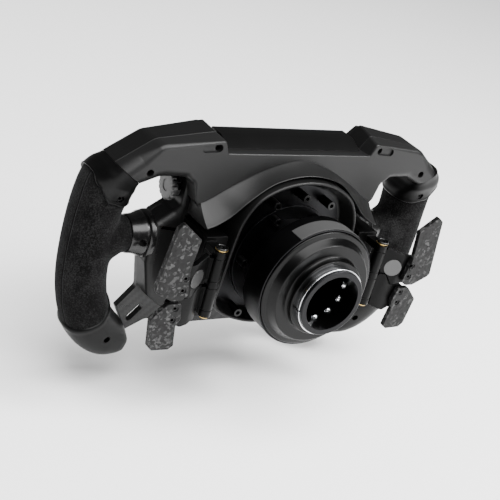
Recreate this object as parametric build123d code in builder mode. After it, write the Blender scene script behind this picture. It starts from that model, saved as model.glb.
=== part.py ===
"""Formula-style racing wheel: body, suede grips, quick release, hinged paddles.

Frame: the origin is the centre of the quick release's mouth. +Y points out of
the mouth, away from the driver, +Z is up and +X is to the driver's right.
A depth is a distance from the mouth towards the driver, along -Y, in mm.
"""

import os
from math import cos, radians, sin, tan

from build123d import *

os.makedirs("parts", exist_ok=True)

# ---- overall sizes -------------------------------------------------------
grip_reach = 132.3  # steering axis to the grip's centre line at its widest
shoulder_top = 84.0  # steering axis to the top of the shoulders
body_half = 91.5  # half width of the body, where the grip branches meet it
body_bottom = -74.0
band_half = 55.5  # half width of the raised band between the shoulders
band_bottom = 72.8
band_rise = 5.0

# ---- depths of the layers ------------------------------------------------
hub_lip_depth = 53.0
hub_floor_depth = 65.0
shell_depth = 72.0
tray_depth = 84.0
plate_depth = 100.0
plate_thickness = 5.0
face_depth = plate_depth + plate_thickness
grip_depth = plate_depth - 2.0

# ---- walls and gaps ------------------------------------------------------
wall = 2.5
gap = 0.3  # between pieces of different bodies
fit = 0.05  # radial, for shafts, sleeves and pieces that locate each other

# ---- grips ---------------------------------------------------------------
grip_radius = 16.6  # seen from the front
grip_half_depth = 18.0
grip_bow = 8.8  # how far the grip's ends lie inside its middle
grip_top = shoulder_top - 34.0
grip_foot = -60.0
core_radius = 9.0
core_inset = 6.0  # how far the core's ends lie inside the grip's
upper_cap_rear = 74.5
upper_cap_length = face_depth + 10.5 - upper_cap_rear
lower_cap_rear = 82.5
lower_cap_length = face_depth + 9.0 - lower_cap_rear
cap_fillet = 3.0
branch_height = 2.0
branch_radius = 12.5
collar_length = 12.5
collar_radius = 13.4

# ---- small screws, countersunk in wells ------------------------------------
screw_head = 2.2
screw_drop = 1.6  # height of the head
screw_socket = 1.2
screw_well = 2.5
shank = 1.5
thread_depth = 9.0
shell_well_depth = 7.0
cap_well_depth = 6.0
collar_well_depth = 4.5

# ---- quick release -------------------------------------------------------
bore_radius = 20.0
bore_mouth = 13.0  # clear length before the balls
sleeve_radius = 23.9
sleeve_length = 62.0
ball_radius = 3.0
ball_count = 12
ball_depth = 17.0
ball_seat = 21.05  # radius of the balls' centres
ball_phase = 20.0
drum_radius = 44.0
drum_rear = 19.8
drum_front = 41.0
neck_radius = 30.0
flange_radius = 39.5
flange_thickness = 3.0
rim_radius = 42.6
collar_travel = 6.0
spring_wire = 1.1
spring_turns = 5
band_angle = 66.0  # sweep of the blank identity strip on the drum

# ---- hub bolts -----------------------------------------------------------
bolt_circle = 70.0
bolt_count = 6
bolt_head = 3.0
post_circle = 97.0
post_angles = (90.0, 62.5, 117.5, -52.0, -128.0)

# ---- paddles -------------------------------------------------------------
hinge_x = 67.3
hinge_depth = 41.5
pin_radius = 2.0
knuckle_radius = 4.3
knuckle_height = 5.0
knuckle_zs = (16.6, -4.8, -26.5)
bracket_in = 55.0
bracket_out = 72.0
bracket_top = 22.0
bracket_foot = -38.0
bracket_depth = 54.0
arm_thickness = 4.2
arm_tilt = 25.0  # how far the inner part of an arm leans rearwards
magnet_x = 82.1
magnet_z = 0.85
magnet_depth = 38.0
arm_split = -12.3  # height where the two arms of one side part
blade_thickness = 3.6
magnet_radius = 6.5
shift_screws = ((94.5, 4.9), (94.6, -3.8))
clutch_screws = ((95.0, -18.4), (95.0, -27.0))

# ---- controls ------------------------------------------------------------
axle_radius = 3.0
thumb_z = 38.2
thumb_x = 76.0
thumb_depth = plate_depth - axle_radius - gap
thumb_radius = 10.3
button_radius = 5.5
button_travel = 2.0
button_z = shoulder_top - 18.0
button_spots = ((70.0, button_z), (93.0, button_z), (72.0, 0.0))
knob_radius = 9.5
knob_height = 11.0
knob_spots = ((-38.0, -38.0), (0.0, -42.0), (38.0, -38.0))
knob_names = ("left", "centre", "right")
display_half = 50.0
display_low = 12.0
display_high = 68.0


# ---- outlines: (x, z, corner radius), from the top centre outwards --------
reach = grip_reach
SEAM_OUT = (reach + 1.2, shoulder_top - 22.7)
SEAM_IN = (reach - 16.8, shoulder_top - 35.3)

UPPER_OPENING = (
    (reach - 29.0, shoulder_top - 30.2, 7.0),
    (body_half - 3.5, shoulder_top - 30.0, 7.0),
    (thumb_x, shoulder_top - 34.5, 4.0),
    (thumb_x, thumb_z - 9.2, 3.0),
    (thumb_x + 3.5, thumb_z - 14.0, 4.0),
    (body_half - 3.0, branch_height + 16.0, 2.5),
)

TRAY_OUTLINE = (
    (band_half + 0.5, band_bottom - 0.3, 0.5),
    (66.0, shoulder_top, 2.5),
    (reach - 23.5, shoulder_top - 7.6, 12.0),
    (reach - 8.0, shoulder_top - 18.0, 12.0),
    SEAM_OUT + (0.6,),
    SEAM_IN + (0.6,),
    *UPPER_OPENING,
    (body_half, branch_height + 13.5, 1.0),
    (body_half, branch_height - 17.0, 4.0),
    (body_half - 6.5, -40.0, 6.0),
    (72.0, -50.0, 5.0),
)

PLATE_OUTLINE = (
    (band_half + 1.0, band_bottom - 1.5, 1.0),
    (66.8, shoulder_top - 2.2, 2.5),
    (reach - 24.5, shoulder_top - 9.8, 10.0),
    (reach - 9.5, shoulder_top - 19.7, 8.0),
    (reach - 2.0, shoulder_top - 24.6, 0.6),
    SEAM_IN + (0.6,),
    *UPPER_OPENING,
    (body_half - 1.0, branch_height + 13.5, 1.0),
    (body_half - 1.0, branch_height - 17.0, 4.0),
    (body_half - 6.5, -41.0, 5.0),
    (reach - 35.0, -56.5, 0.6),
    (reach - 46.0, -76.0, 0.6),
    (70.0, -67.2, 8.0),
    (59.0, body_bottom, 6.0),
)

SHELL_OUTLINE = (
    (band_half + 3.5, band_bottom - 0.3, 1.0),
    (63.0, shoulder_top - 2.2, 2.0),
    (reach - 24.3, shoulder_top - 6.8, 9.0),
    (reach - 9.5, shoulder_top - 17.4, 8.0),
    (reach - 1.2, shoulder_top - 24.0, 0.6),
    (reach - 16.8, shoulder_top - 35.0, 0.6),
    (reach - 29.0, shoulder_top - 30.2, 7.0),
    (body_half - 3.5, shoulder_top - 29.2, 7.0),
    (79.5, shoulder_top - 32.0, 5.0),
    (74.5, 38.0, 3.0),
    (71.0, 35.0, 2.0),
    (71.0, 24.0, 0.6),
)

HUB_OUTLINE = (
    (12.0, 60.6, 18.0),
    (25.0, 57.0, 10.0),
    (37.2, 49.5, 8.0),
    (44.8, 39.5, 7.0),
    (48.8, 27.0, 8.0),
    (51.0, 0.0, 20.0),
    (54.0, -27.0, 6.0),
    (47.0, -36.3, 6.0),
    (37.6, -42.0, 8.0),
    (22.0, -47.0, 20.0),
)

SWOOSH_BASE = (
    (13.0, 66.8, 0.0),
    (33.0, 59.3, 0.0),
    (52.0, 48.8, 0.0),
    (71.0, 38.8, 0.0),
    (71.0, 24.3, 0.0),
)

SWOOSH_CREST = (
    (15.0, 62.4, 0.0),
    (29.5, 57.8, 0.0),
    (44.0, 45.6, 0.0),
    (55.0, 34.6, 0.0),
    (71.0, 27.5, 0.0),
    (71.0, 24.3, 0.0),
)

UPPER_CAP = (
    SEAM_OUT + (5.0,),
    (reach + 10.6, shoulder_top - 36.0, 3.0),
    (reach - 9.0, shoulder_top - 53.0, 2.5),
    (reach - 14.6, shoulder_top - 48.5, 3.0),
    SEAM_IN + (0.6,),
)

LOWER_CAP = (
    (reach + 5.2, -57.0, 2.0),
    (reach + 2.6, -69.0, 8.0),
    (reach - 7.6, -80.5, 8.0),
    (reach - 19.0, -88.6, 8.0),
    (reach - 33.0, -92.0, 6.0),
    (reach - 45.0, -91.6, 3.0),
    (reach - 49.0, -86.0, 2.0),
    (reach - 46.0, -76.0, 1.0),
    (reach - 35.0, -56.5, 1.0),
    (reach - 25.0, -46.5, 2.0),
)

SHIFT_BLADE = (
    (90.5, 32.5, 1.2),
    (104.5, 43.8, 1.2),
    (109.0, 40.5, 2.0),
    (114.8, -2.5, 2.0),
    (112.3, -5.0, 1.0),
    (101.0, -10.8, 3.0),
    (94.0, -10.8, 3.0),
    (89.8, -7.0, 2.0),
    (93.0, 11.0, 4.0),
)

CLUTCH_BLADE = (
    (91.5, -14.8, 1.5),
    (101.0, -14.6, 3.0),
    (111.5, -25.0, 3.0),
    (108.5, -45.5, 2.0),
    (105.0, -48.8, 1.5),
    (92.5, -49.2, 1.5),
    (89.3, -46.5, 1.2),
    (91.5, -31.5, 3.0),
    (89.0, -26.0, 2.0),
)

SHELL_SCREWS = ((67.1, 76.1), (reach - 19.3, shoulder_top - 25.6))
UPPER_CAP_SCREW = (reach - 6.2, shoulder_top - 46.4)
LOWER_CAP_SCREW = (reach - 23.7, -71.9)
COLLAR_SCREW_X = body_half + 7.0


def at_depth(depth):
    """The plane across the steering axis at a depth; its local y is up."""
    return Plane.XZ.offset(depth)


def both_halves(half):
    """A half outline and its mirror image as one closed list of corners."""
    return list(half) + [(-x, z, r) for x, z, r in reversed(half)]


def outline(corners, mode=Mode.ADD):
    """Add a closed outline with rounded corners to the open sketch."""
    with BuildLine() as path:
        FilletPolyline(
            *[(x, z) for x, z, _ in corners],
            radius=[r for _, _, r in corners],
            close=True,
        )
    make_face(path.edges(), mode=mode)


def spun_face(profile):
    """Add the (radius, depth) half section of a turned part to the sketch."""
    with BuildLine() as path:
        Polyline(*[(r, -depth) for r, depth in profile], close=True)
    make_face(path.edges())


def on_circle(diameter, angle):
    """The (x, z) point at an angle on a circle about the steering axis."""
    return (diameter / 2 * cos(radians(angle)), diameter / 2 * sin(radians(angle)))


def save(piece, name):
    """Label a finished piece and write its STEP file."""
    piece.part.label = name
    export_step(piece.part, f"parts/{name}.step")


def save_pair(piece, name):
    """Write a right-hand piece and its mirror image."""
    with BuildPart() as mirrored:
        add(mirror(piece.part, about=Plane.YZ, mode=Mode.PRIVATE))
    save(piece, f"{name}_right")
    save(mirrored, f"{name}_left")


def save_both(piece, name):
    """Write a right-hand piece and its mirror image as one node."""
    with BuildPart() as pair:
        add(piece.part)
        add(mirror(piece.part, about=Plane.YZ, mode=Mode.PRIVATE))
    save(pair, name)


def both_sides(spots):
    """Right-hand (x, z) spots and their mirror images."""
    return list(spots) + [(-x, z) for x, z in spots]


# ---- body ----------------------------------------------------------------
post_spots = [on_circle(post_circle, angle) for angle in post_angles]
bolt_spots = [on_circle(bolt_circle, 360 / bolt_count * i) for i in range(bolt_count)]
notch_depth = 0.8

with BuildPart() as front_housing:
    with BuildSketch(at_depth(tray_depth)):
        outline(both_halves(TRAY_OUTLINE))
    extrude(amount=plate_depth - tray_depth)
    with BuildSketch(at_depth(tray_depth + wall)):
        outline(both_halves(TRAY_OUTLINE))
        offset(amount=-wall, kind=Kind.INTERSECTION, mode=Mode.REPLACE)
        with Locations(*both_sides(SHELL_SCREWS)):
            Circle(screw_well + wall, mode=Mode.SUBTRACT)
    extrude(amount=plate_depth - tray_depth - wall, mode=Mode.SUBTRACT)
    with BuildSketch(at_depth(tray_depth)):
        with Locations(*both_sides(SHELL_SCREWS), *post_spots):
            Circle(shank + fit)
    extrude(amount=thread_depth, mode=Mode.SUBTRACT)
    for side in (1, -1):
        with BuildSketch(Plane.YZ.offset(side * (thumb_x - wall - 1))):
            with Locations((-thumb_depth, thumb_z)):
                Circle(axle_radius + fit)
        extrude(amount=side * (wall + 2), mode=Mode.SUBTRACT)
save(front_housing, "front_housing")

with BuildPart() as face_plate:
    with BuildSketch(at_depth(plate_depth)):
        outline(both_halves(PLATE_OUTLINE))
        with Locations(*both_sides(button_spots)):
            Circle(button_radius + gap, mode=Mode.SUBTRACT)
        with Locations(*knob_spots):
            Circle(axle_radius + fit, mode=Mode.SUBTRACT)
        with Locations((0, (display_low + display_high) / 2)):
            Rectangle(2 * display_half - 8, display_high - display_low - 8, mode=Mode.SUBTRACT)
        for side in (1, -1):
            with Locations((side * (reach - 50.5), -62.5)):
                SlotOverall(15.0, 4.6, rotation=-side * 50.0, mode=Mode.SUBTRACT)
    extrude(amount=plate_thickness)
save(face_plate, "face_plate")

with BuildPart() as rear_shell:
    with BuildSketch(at_depth(shell_depth)):
        outline(both_halves(SHELL_OUTLINE))
    extrude(amount=tray_depth - shell_depth)
    rear_rim = rear_shell.faces().sort_by(Axis.Y)[-1].edges()
    chamfer(rear_rim, length=0.5)
    with BuildSketch(at_depth(shell_depth + wall)):
        outline(both_halves(SHELL_OUTLINE))
        offset(amount=-wall, kind=Kind.INTERSECTION, mode=Mode.REPLACE)
        with Locations(*both_sides(SHELL_SCREWS)):
            Circle(screw_well + wall, mode=Mode.SUBTRACT)
    extrude(amount=tray_depth - shell_depth - wall, mode=Mode.SUBTRACT)
    with BuildSketch(at_depth(shell_depth)):
        outline(both_halves(HUB_OUTLINE))
        offset(amount=fit, mode=Mode.REPLACE)
    extrude(amount=tray_depth - shell_depth, mode=Mode.SUBTRACT)
    with BuildSketch(at_depth(shell_depth)):
        with Locations(*both_sides(SHELL_SCREWS)):
            Circle(screw_well)
    extrude(amount=shell_well_depth, mode=Mode.SUBTRACT)
    with BuildSketch(at_depth(shell_depth)):
        with Locations(*both_sides(SHELL_SCREWS)):
            Circle(shank + fit)
    extrude(amount=tray_depth - shell_depth, mode=Mode.SUBTRACT)
    with BuildSketch(at_depth(shell_depth)):
        for side in (1, -1):
            with Locations((side * 72.0, 75.7)):
                SlotOverall(15.0, 5.4, rotation=-side * 4.0)
    extrude(amount=notch_depth, mode=Mode.SUBTRACT)
save(rear_shell, "rear_shell")

swoosh_drop = 4.0  # how far the crest lies in front of the hub's lip
with BuildPart() as swoosh_trim:
    with BuildSketch(at_depth(shell_depth)):
        outline(both_halves(SWOOSH_BASE[:3] + ((61.5, 43.8, 0.0),) + SWOOSH_BASE[3:]))
    with BuildSketch(at_depth(hub_lip_depth + swoosh_drop)):
        outline(both_halves(SWOOSH_CREST))
    loft(ruled=True)
    with BuildSketch(at_depth(hub_lip_depth)):
        outline(both_halves(HUB_OUTLINE))
        offset(amount=fit, mode=Mode.REPLACE)
    extrude(amount=tray_depth - hub_lip_depth, mode=Mode.SUBTRACT)
save(swoosh_trim, "swoosh_trim")

hub_wall = 2.6
floor_inset = 6.2
with BuildPart() as hub_housing:
    with BuildSketch(at_depth(hub_lip_depth)):
        outline(both_halves(HUB_OUTLINE))
    extrude(amount=tray_depth - hub_lip_depth)
    with BuildSketch(at_depth(hub_lip_depth)) as mouth_sketch:
        outline(both_halves(HUB_OUTLINE))
        offset(amount=-hub_wall, mode=Mode.REPLACE)
    with BuildSketch(at_depth(hub_floor_depth)) as floor_sketch:
        outline(both_halves(HUB_OUTLINE))
        offset(amount=-floor_inset, mode=Mode.REPLACE)
    loft(sections=[mouth_sketch.sketch, floor_sketch.sketch], mode=Mode.SUBTRACT)
    with BuildSketch(at_depth(hub_floor_depth)):
        outline(both_halves(HUB_OUTLINE))
        offset(amount=-floor_inset, mode=Mode.REPLACE)
    extrude(amount=tray_depth - hub_floor_depth, mode=Mode.SUBTRACT)
    with BuildSketch(at_depth(hub_lip_depth)):
        with Locations(*post_spots):
            Circle(bolt_head + 2 * fit)
    extrude(amount=tray_depth - hub_lip_depth, mode=Mode.SUBTRACT)
save(hub_housing, "hub_housing")

hub_plate_thickness = 6.0
with BuildPart() as hub_plate:
    with BuildSketch(at_depth(hub_floor_depth)):
        outline(both_halves(HUB_OUTLINE))
        offset(amount=-floor_inset - fit, mode=Mode.REPLACE)
        with Locations(*post_spots, *bolt_spots):
            Circle(shank + fit, mode=Mode.SUBTRACT)
        Circle(sleeve_radius + 2 * fit, mode=Mode.SUBTRACT)
    extrude(amount=hub_plate_thickness)
save(hub_plate, "hub_plate")


def socket_screws(spots, head_depth, head_height, shank_end):
    """Cap screws along the steering axis: heads with hexagon sockets."""
    with BuildPart() as screws:
        with BuildSketch(at_depth(head_depth)):
            with Locations(*spots):
                Circle(bolt_head)
        extrude(amount=head_height)
        with BuildSketch(at_depth(head_depth)):
            with Locations(*spots):
                Circle(shank)
        extrude(amount=shank_end - head_depth)
        with BuildSketch(at_depth(head_depth)):
            with Locations(*spots):
                RegularPolygon(bolt_head * 0.55, 6)
        extrude(amount=2.5, mode=Mode.SUBTRACT)
    return screws


post_drop = 1.0  # below the lip
bolt_height = 7.0
hub_posts = socket_screws(
    post_spots,
    hub_lip_depth + post_drop,
    hub_floor_depth - hub_lip_depth - post_drop,
    tray_depth + wall,
)
hub_bolts = socket_screws(
    bolt_spots,
    hub_floor_depth - flange_thickness - bolt_height,
    bolt_height,
    hub_floor_depth + hub_plate_thickness,
)
with BuildPart() as hub_screws:
    add(hub_posts.part)
    add(hub_bolts.part)
save(hub_screws, "hub_screws")

with BuildPart() as top_band:
    with BuildSketch(Plane.YZ.offset(-band_half)):
        with BuildLine() as band_section:
            Polyline(
                (-79.0, band_bottom),
                (-91.5, band_bottom + band_rise),
                (-face_depth + 1.0, band_bottom + band_rise),
                (-face_depth + 1.0, band_bottom),
                close=True,
            )
        make_face(band_section.edges())
    extrude(amount=2 * band_half)
save(top_band, "top_band")

with BuildPart() as light_bar:
    with BuildSketch(at_depth(face_depth - 1.0)):
        with Locations((0, band_bottom + band_rise / 2)):
            SlotOverall(2 * band_half - 16, band_rise - 1.4)
    extrude(amount=2.0)
save(light_bar, "light_bar")

display_z = (display_low + display_high) / 2
display_tall = display_high - display_low
with BuildPart() as display_bezel:
    with BuildSketch(at_depth(face_depth)):
        with Locations((0, display_z)):
            RectangleRounded(2 * display_half, display_tall, 4.0)
            RectangleRounded(2 * display_half - 8, display_tall - 8, 2.0, mode=Mode.SUBTRACT)
    extrude(amount=3.0)
save(display_bezel, "display_bezel")

with BuildPart() as display_glass:
    with BuildSketch(at_depth(face_depth - 1.0)):
        with Locations((0, display_z)):
            RectangleRounded(2 * display_half - 8.2, display_tall - 8.2, 1.9)
    extrude(amount=2.6)
save(display_glass, "display_glass")

board_depth = tray_depth + wall + 3.0
with BuildPart() as main_board:
    with BuildSketch(at_depth(board_depth)):
        with Locations((0, 12.0)):
            RectangleRounded(120.0, 96.0, 3.0)
        with Locations(*post_spots):
            Circle(bolt_head, mode=Mode.SUBTRACT)
    extrude(amount=1.6)
save(main_board, "main_board")

# ---- quick release ---------------------------------------------------------
pocket_depth = drum_rear + rim_radius - drum_radius + 11.0
spring_in = sleeve_radius + 1.2
spring_out = spring_in + 2 * spring_wire + 1.2
spring_floor = 36.5
neck_start = drum_front + 1.0
flange_rear = hub_floor_depth - flange_thickness
with BuildPart() as quick_release_body:
    with BuildSketch(Plane.XY):
        spun_face(
            (
                (sleeve_radius + fit, neck_start),
                (sleeve_radius + fit, spring_floor),
                (spring_out + 1.0, spring_floor),
                (spring_out + 1.0, pocket_depth),
                (rim_radius + gap, pocket_depth),
                (rim_radius + gap, drum_rear),
                (drum_radius, drum_rear),
                (drum_radius, drum_front - 1.5),
                (drum_radius - 1.5, drum_front),
                (neck_radius, neck_start),
            )
        )
    revolve(axis=Axis.Y)
save(quick_release_body, "quick_release_body")

with BuildPart() as quick_release_neck:
    with BuildSketch(at_depth(neck_start)):
        Circle(neck_radius)
        Circle(sleeve_radius + fit, mode=Mode.SUBTRACT)
    extrude(amount=flange_rear - neck_start)
save(quick_release_neck, "quick_release_neck")

with BuildPart() as quick_release_flange:
    with BuildSketch(at_depth(flange_rear)):
        Circle(flange_radius)
        Circle(sleeve_radius + fit, mode=Mode.SUBTRACT)
        with Locations(*bolt_spots):
            Circle(shank + fit, mode=Mode.SUBTRACT)
    extrude(amount=flange_thickness)
save(quick_release_flange, "quick_release_flange")

relief = 0.3
ball_angles = [ball_phase + 360 / ball_count * i for i in range(ball_count)]
with BuildPart() as ball_sleeve:
    with BuildSketch(Plane.XY):
        spun_face(
            (
                (bore_radius, 0.0),
                (bore_radius, bore_mouth),
                (bore_radius + relief, bore_mouth),
                (bore_radius + relief, sleeve_length),
                (sleeve_radius, sleeve_length),
                (sleeve_radius, 0.4),
                (sleeve_radius - 0.4, 0.0),
            )
        )
    revolve(axis=Axis.Y)
    for angle in ball_angles:
        outwards = (cos(radians(angle)), 0, sin(radians(angle)))
        with BuildSketch(Plane((0, -ball_depth, 0), x_dir=(0, 1, 0), z_dir=outwards)):
            Circle(ball_radius + fit)
        extrude(amount=sleeve_radius + 1, mode=Mode.SUBTRACT)
save(ball_sleeve, "ball_sleeve")

with BuildPart() as locking_balls:
    for angle in ball_angles:
        x, z = on_circle(2 * ball_seat, angle)
        with Locations((x, -ball_depth, z)):
            Sphere(ball_radius)
save(locking_balls, "locking_balls")

ring_front = 6.9
with BuildPart() as snap_ring:
    with BuildSketch(Plane.XY):
        spun_face(
            (
                (sleeve_radius + fit, 2.0),
                (sleeve_radius + 0.85, 2.0),
                (sleeve_radius + 0.85, ring_front),
                (sleeve_radius + fit, ring_front),
            )
        )
    revolve(axis=Axis.Y)
    with Locations(Location((0, -ring_front / 2, 0), (0, 12.0, 0))):
        Box(3 * sleeve_radius, 2 * ring_front, 1.0, align=(Align.MIN, Align.CENTER, Align.CENTER),
            mode=Mode.SUBTRACT)
save(snap_ring, "snap_ring")

land_radius = ball_seat + ball_radius + 0.1
collar_face = 12.2
collar_mouth = ring_front + fit
rim_thickness = 3.2
rim_rear = drum_rear - 1.3
with BuildPart() as release_collar:
    with BuildSketch(Plane.XY):
        spun_face(
            (
                (land_radius, collar_mouth),
                (land_radius, collar_mouth + 1.0),
                (land_radius + 2.2, collar_mouth + 1.4),
                (land_radius + 2.2, ball_depth - ball_radius - 0.4),
                (land_radius, ball_depth - ball_radius),
                (land_radius, pocket_depth - collar_travel - 1.2),
                (rim_radius - 4, pocket_depth - collar_travel - 1.2),
                (rim_radius, rim_rear + rim_thickness),
                (rim_radius, rim_rear + 0.6),
                (rim_radius - 0.8, rim_rear),
                (rim_radius - 3.6, rim_rear - 0.4),
                (rim_radius - 5.0, rim_rear - 2.8),
                (rim_radius - 6.4, collar_face + 0.3),
                (rim_radius - 7.2, collar_face),
                (land_radius + 5.2, collar_face),
                (land_radius + 4.0, collar_face - 0.8),
                (land_radius + 3.5, collar_face - 2.2),
                (land_radius + 3.4, collar_mouth + 0.5),
                (land_radius + 2.9, collar_mouth),
            )
        )
    revolve(axis=Axis.Y)
save(release_collar, "release_collar")

with BuildPart() as collar_spring:
    spring_start = pocket_depth - collar_travel - 1.2 + spring_wire + 0.1
    spring_pitch = (spring_floor - spring_wire - 0.1 - spring_start) / (spring_turns - 1)
    for turn in range(spring_turns):
        with BuildSketch(Plane.XY):
            with Locations((spring_in + spring_wire + 0.4, -spring_start - turn * spring_pitch)):
                Circle(spring_wire)
        revolve(axis=Axis.Y)
save(collar_spring, "collar_spring")

strip_thickness = 0.4
with BuildPart() as id_band:
    with BuildSketch(at_depth(drum_rear + 0.5)):
        Circle(drum_radius + strip_thickness)
        Circle(drum_radius + 0.02, mode=Mode.SUBTRACT)
        with BuildLine() as wedge:
            Polyline(
                (0, 0),
                on_circle(4 * drum_radius, 90 - band_angle / 2),
                (0, 3 * drum_radius),
                on_circle(4 * drum_radius, 90 + band_angle / 2),
                close=True,
            )
        make_face(wedge.edges(), mode=Mode.INTERSECT)
    extrude(amount=12.0)
save(id_band, "id_band")

with BuildPart() as contact_block:
    with BuildSketch(at_depth(sleeve_length - 9.0)):
        Circle(bore_radius + relief - fit)
    extrude(amount=8.0)
    with BuildSketch(at_depth(sleeve_length - 9.0)):
        with PolarLocations(8.0, 6):
            Circle(1.2)
    extrude(amount=-2.5)
save(contact_block, "contact_block")


# ---- grips -----------------------------------------------------------------
def grip_path(inset):
    """The bowed centre line of a grip, shortened at both ends by an inset."""
    middle = (grip_top + grip_foot) / 2
    half = (grip_top - grip_foot) / 2
    share = ((half - inset) / half) ** 2
    with BuildLine(at_depth(grip_depth)) as path:
        ThreePointArc(
            (reach - grip_bow * share, grip_top - inset),
            (reach, middle),
            (reach - grip_bow * share, grip_foot + inset),
        )
    return path


def grip_solid(across, along, inset, branch):
    """An oval bar along the grip's centre line with its branch to the body."""
    path = grip_path(inset)
    with BuildPart() as bar:
        start = path.wires()[0]
        with BuildSketch(Plane(start @ 0, x_dir=(0, 1, 0), z_dir=start % 0)):
            Ellipse(along, across)
        sweep(path=start)
        with BuildSketch(Plane.YZ.offset(body_half + collar_length)):
            with Locations((-grip_depth, branch_height)):
                Circle(branch)
        extrude(amount=reach - body_half - collar_length)
    return bar


core_bar = grip_solid(core_radius, core_radius, core_inset, core_radius - 2.0)
wrap_bar = grip_solid(grip_radius, grip_half_depth, 0.0, branch_radius)

hem_inner = UPPER_CAP[3]  # where the wrap's hem meets the cap's inner edge
with BuildPart() as grip_wrap:
    add(wrap_bar.part)
    with BuildSketch(at_depth(grip_depth - 2 * grip_half_depth)):
        outline(UPPER_CAP)
        outline(LOWER_CAP)
        with Locations(SEAM_IN):
            Rectangle(4 * grip_radius, 2 * grip_radius, align=(Align.CENTER, Align.MIN))
        with Locations(hem_inner[:2]):
            Rectangle(2 * grip_radius, 2 * grip_radius, align=(Align.MAX, Align.MIN))
    extrude(amount=4 * grip_half_depth, mode=Mode.SUBTRACT)
    add(core_bar.part, mode=Mode.SUBTRACT)
save_pair(grip_wrap, "grip_wrap")

with BuildPart() as upper_cap:
    with BuildSketch(at_depth(upper_cap_rear)):
        outline(UPPER_CAP)
    extrude(amount=upper_cap_length)
    fillet(upper_cap.faces().sort_by(Axis.Y)[-1].edges().sort_by(Axis.X)[-4:], cap_fillet)
    with BuildSketch(at_depth(upper_cap_rear)):
        with Locations(UPPER_CAP_SCREW):
            Circle(screw_well)
    extrude(amount=cap_well_depth, mode=Mode.SUBTRACT)
    add(core_bar.part, mode=Mode.SUBTRACT)
save_pair(upper_cap, "upper_cap")

with BuildPart() as lower_cap:
    with BuildSketch(at_depth(lower_cap_rear)):
        outline(LOWER_CAP)
    extrude(amount=lower_cap_length)
    with BuildSketch(at_depth(lower_cap_rear)):
        with Locations(LOWER_CAP_SCREW):
            Circle(screw_well)
    extrude(amount=cap_well_depth, mode=Mode.SUBTRACT)
    add(core_bar.part, mode=Mode.SUBTRACT)
save_pair(lower_cap, "lower_cap")

with BuildPart() as grip_core:
    add(core_bar.part)
save_both(grip_core, "grip_cores")

with BuildPart() as branch_collar:
    with BuildSketch(Plane.XY.offset(branch_height)):
        with BuildLine() as collar_profile:
            Polyline(
                (body_half, -grip_depth),
                (body_half, -grip_depth + collar_radius - 2.0),
                (body_half + 1.6, -grip_depth + collar_radius - 0.6),
                (body_half + 2.4, -grip_depth + collar_radius - 1.6),
                (body_half + 3.6, -grip_depth + collar_radius),
                (body_half + collar_length - 2.0, -grip_depth + collar_radius),
                (body_half + collar_length, -grip_depth + collar_radius - 1.2),
                (body_half + collar_length, -grip_depth),
                close=True,
            )
        make_face(collar_profile.edges())
    revolve(axis=Axis((0, -grip_depth, branch_height), (1, 0, 0)))
    with BuildSketch(at_depth(grip_depth - collar_radius)):
        with Locations((COLLAR_SCREW_X, branch_height)):
            Circle(screw_well)
    extrude(amount=collar_well_depth, mode=Mode.SUBTRACT)
save_both(branch_collar, "branch_collars")

with BuildPart() as housing_screws:
    for spots, rear in (
        (SHELL_SCREWS, shell_depth + shell_well_depth),
        ((UPPER_CAP_SCREW,), upper_cap_rear + cap_well_depth),
        ((LOWER_CAP_SCREW,), lower_cap_rear + cap_well_depth),
        (((COLLAR_SCREW_X, branch_height),), grip_depth - collar_radius + collar_well_depth),
    ):
        with BuildSketch(at_depth(rear - screw_drop)):
            with Locations(*both_sides(spots)):
                Circle(screw_head)
                RegularPolygon(screw_socket, 6, mode=Mode.SUBTRACT)
        extrude(amount=screw_drop)
save(housing_screws, "housing_screws")

# ---- paddles -----------------------------------------------------------------
hinge_axis = Axis((hinge_x, -hinge_depth, 0), (0, 0, 1))

with BuildPart() as paddle_bracket:
    with BuildSketch(at_depth(bracket_depth)):
        with BuildLine() as base_line:
            FilletPolyline(
                (bracket_in, bracket_foot + 4.0),
                (bracket_in, bracket_top),
                (bracket_out, bracket_top),
                (bracket_out, bracket_foot),
                (bracket_in + 4.0, bracket_foot),
                radius=1.0,
                close=True,
            )
        make_face(base_line.edges())
    extrude(amount=tray_depth - bracket_depth)
    for z in knuckle_zs:
        with BuildSketch(Plane.XY.offset(z - knuckle_height / 2)):
            with Locations((hinge_x, -hinge_depth)):
                Circle(knuckle_radius)
            with Locations((hinge_x, -(hinge_depth + bracket_depth) / 2)):
                Rectangle(2 * knuckle_radius - 1.0, bracket_depth - hinge_depth + 0.2)
            with Locations((hinge_x, -hinge_depth)):
                Circle(pin_radius + fit, mode=Mode.SUBTRACT)
        extrude(amount=knuckle_height)
save_pair(paddle_bracket, "paddle_bracket")

pin_top = knuckle_zs[0] + knuckle_height / 2
pin_foot = knuckle_zs[-1] - knuckle_height / 2
bush_flange = 1.0
with BuildPart() as hinge_pin:
    with BuildSketch(Plane.XY.offset(pin_foot - bush_flange)):
        with Locations((hinge_x, -hinge_depth)):
            Circle(pin_radius)
    extrude(amount=pin_top - pin_foot + 2 * bush_flange)
    with BuildSketch(Plane.XY.offset(pin_top + bush_flange)):
        with Locations((hinge_x, -hinge_depth)):
            Circle(knuckle_radius - 0.6)
            SlotOverall(2.6, 0.9, mode=Mode.SUBTRACT)
    extrude(amount=1.4)
save_both(hinge_pin, "hinge_pins")

with BuildPart() as hinge_bushings:
    for side in (1, -1):
        for z in (pin_top, pin_foot - bush_flange):
            with BuildSketch(Plane.XY.offset(z)):
                with Locations((side * hinge_x, -hinge_depth)):
                    Circle(knuckle_radius - 0.9)
                    Circle(pin_radius + fit, mode=Mode.SUBTRACT)
            extrude(amount=bush_flange)
save(hinge_bushings, "hinge_bushings")


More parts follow.
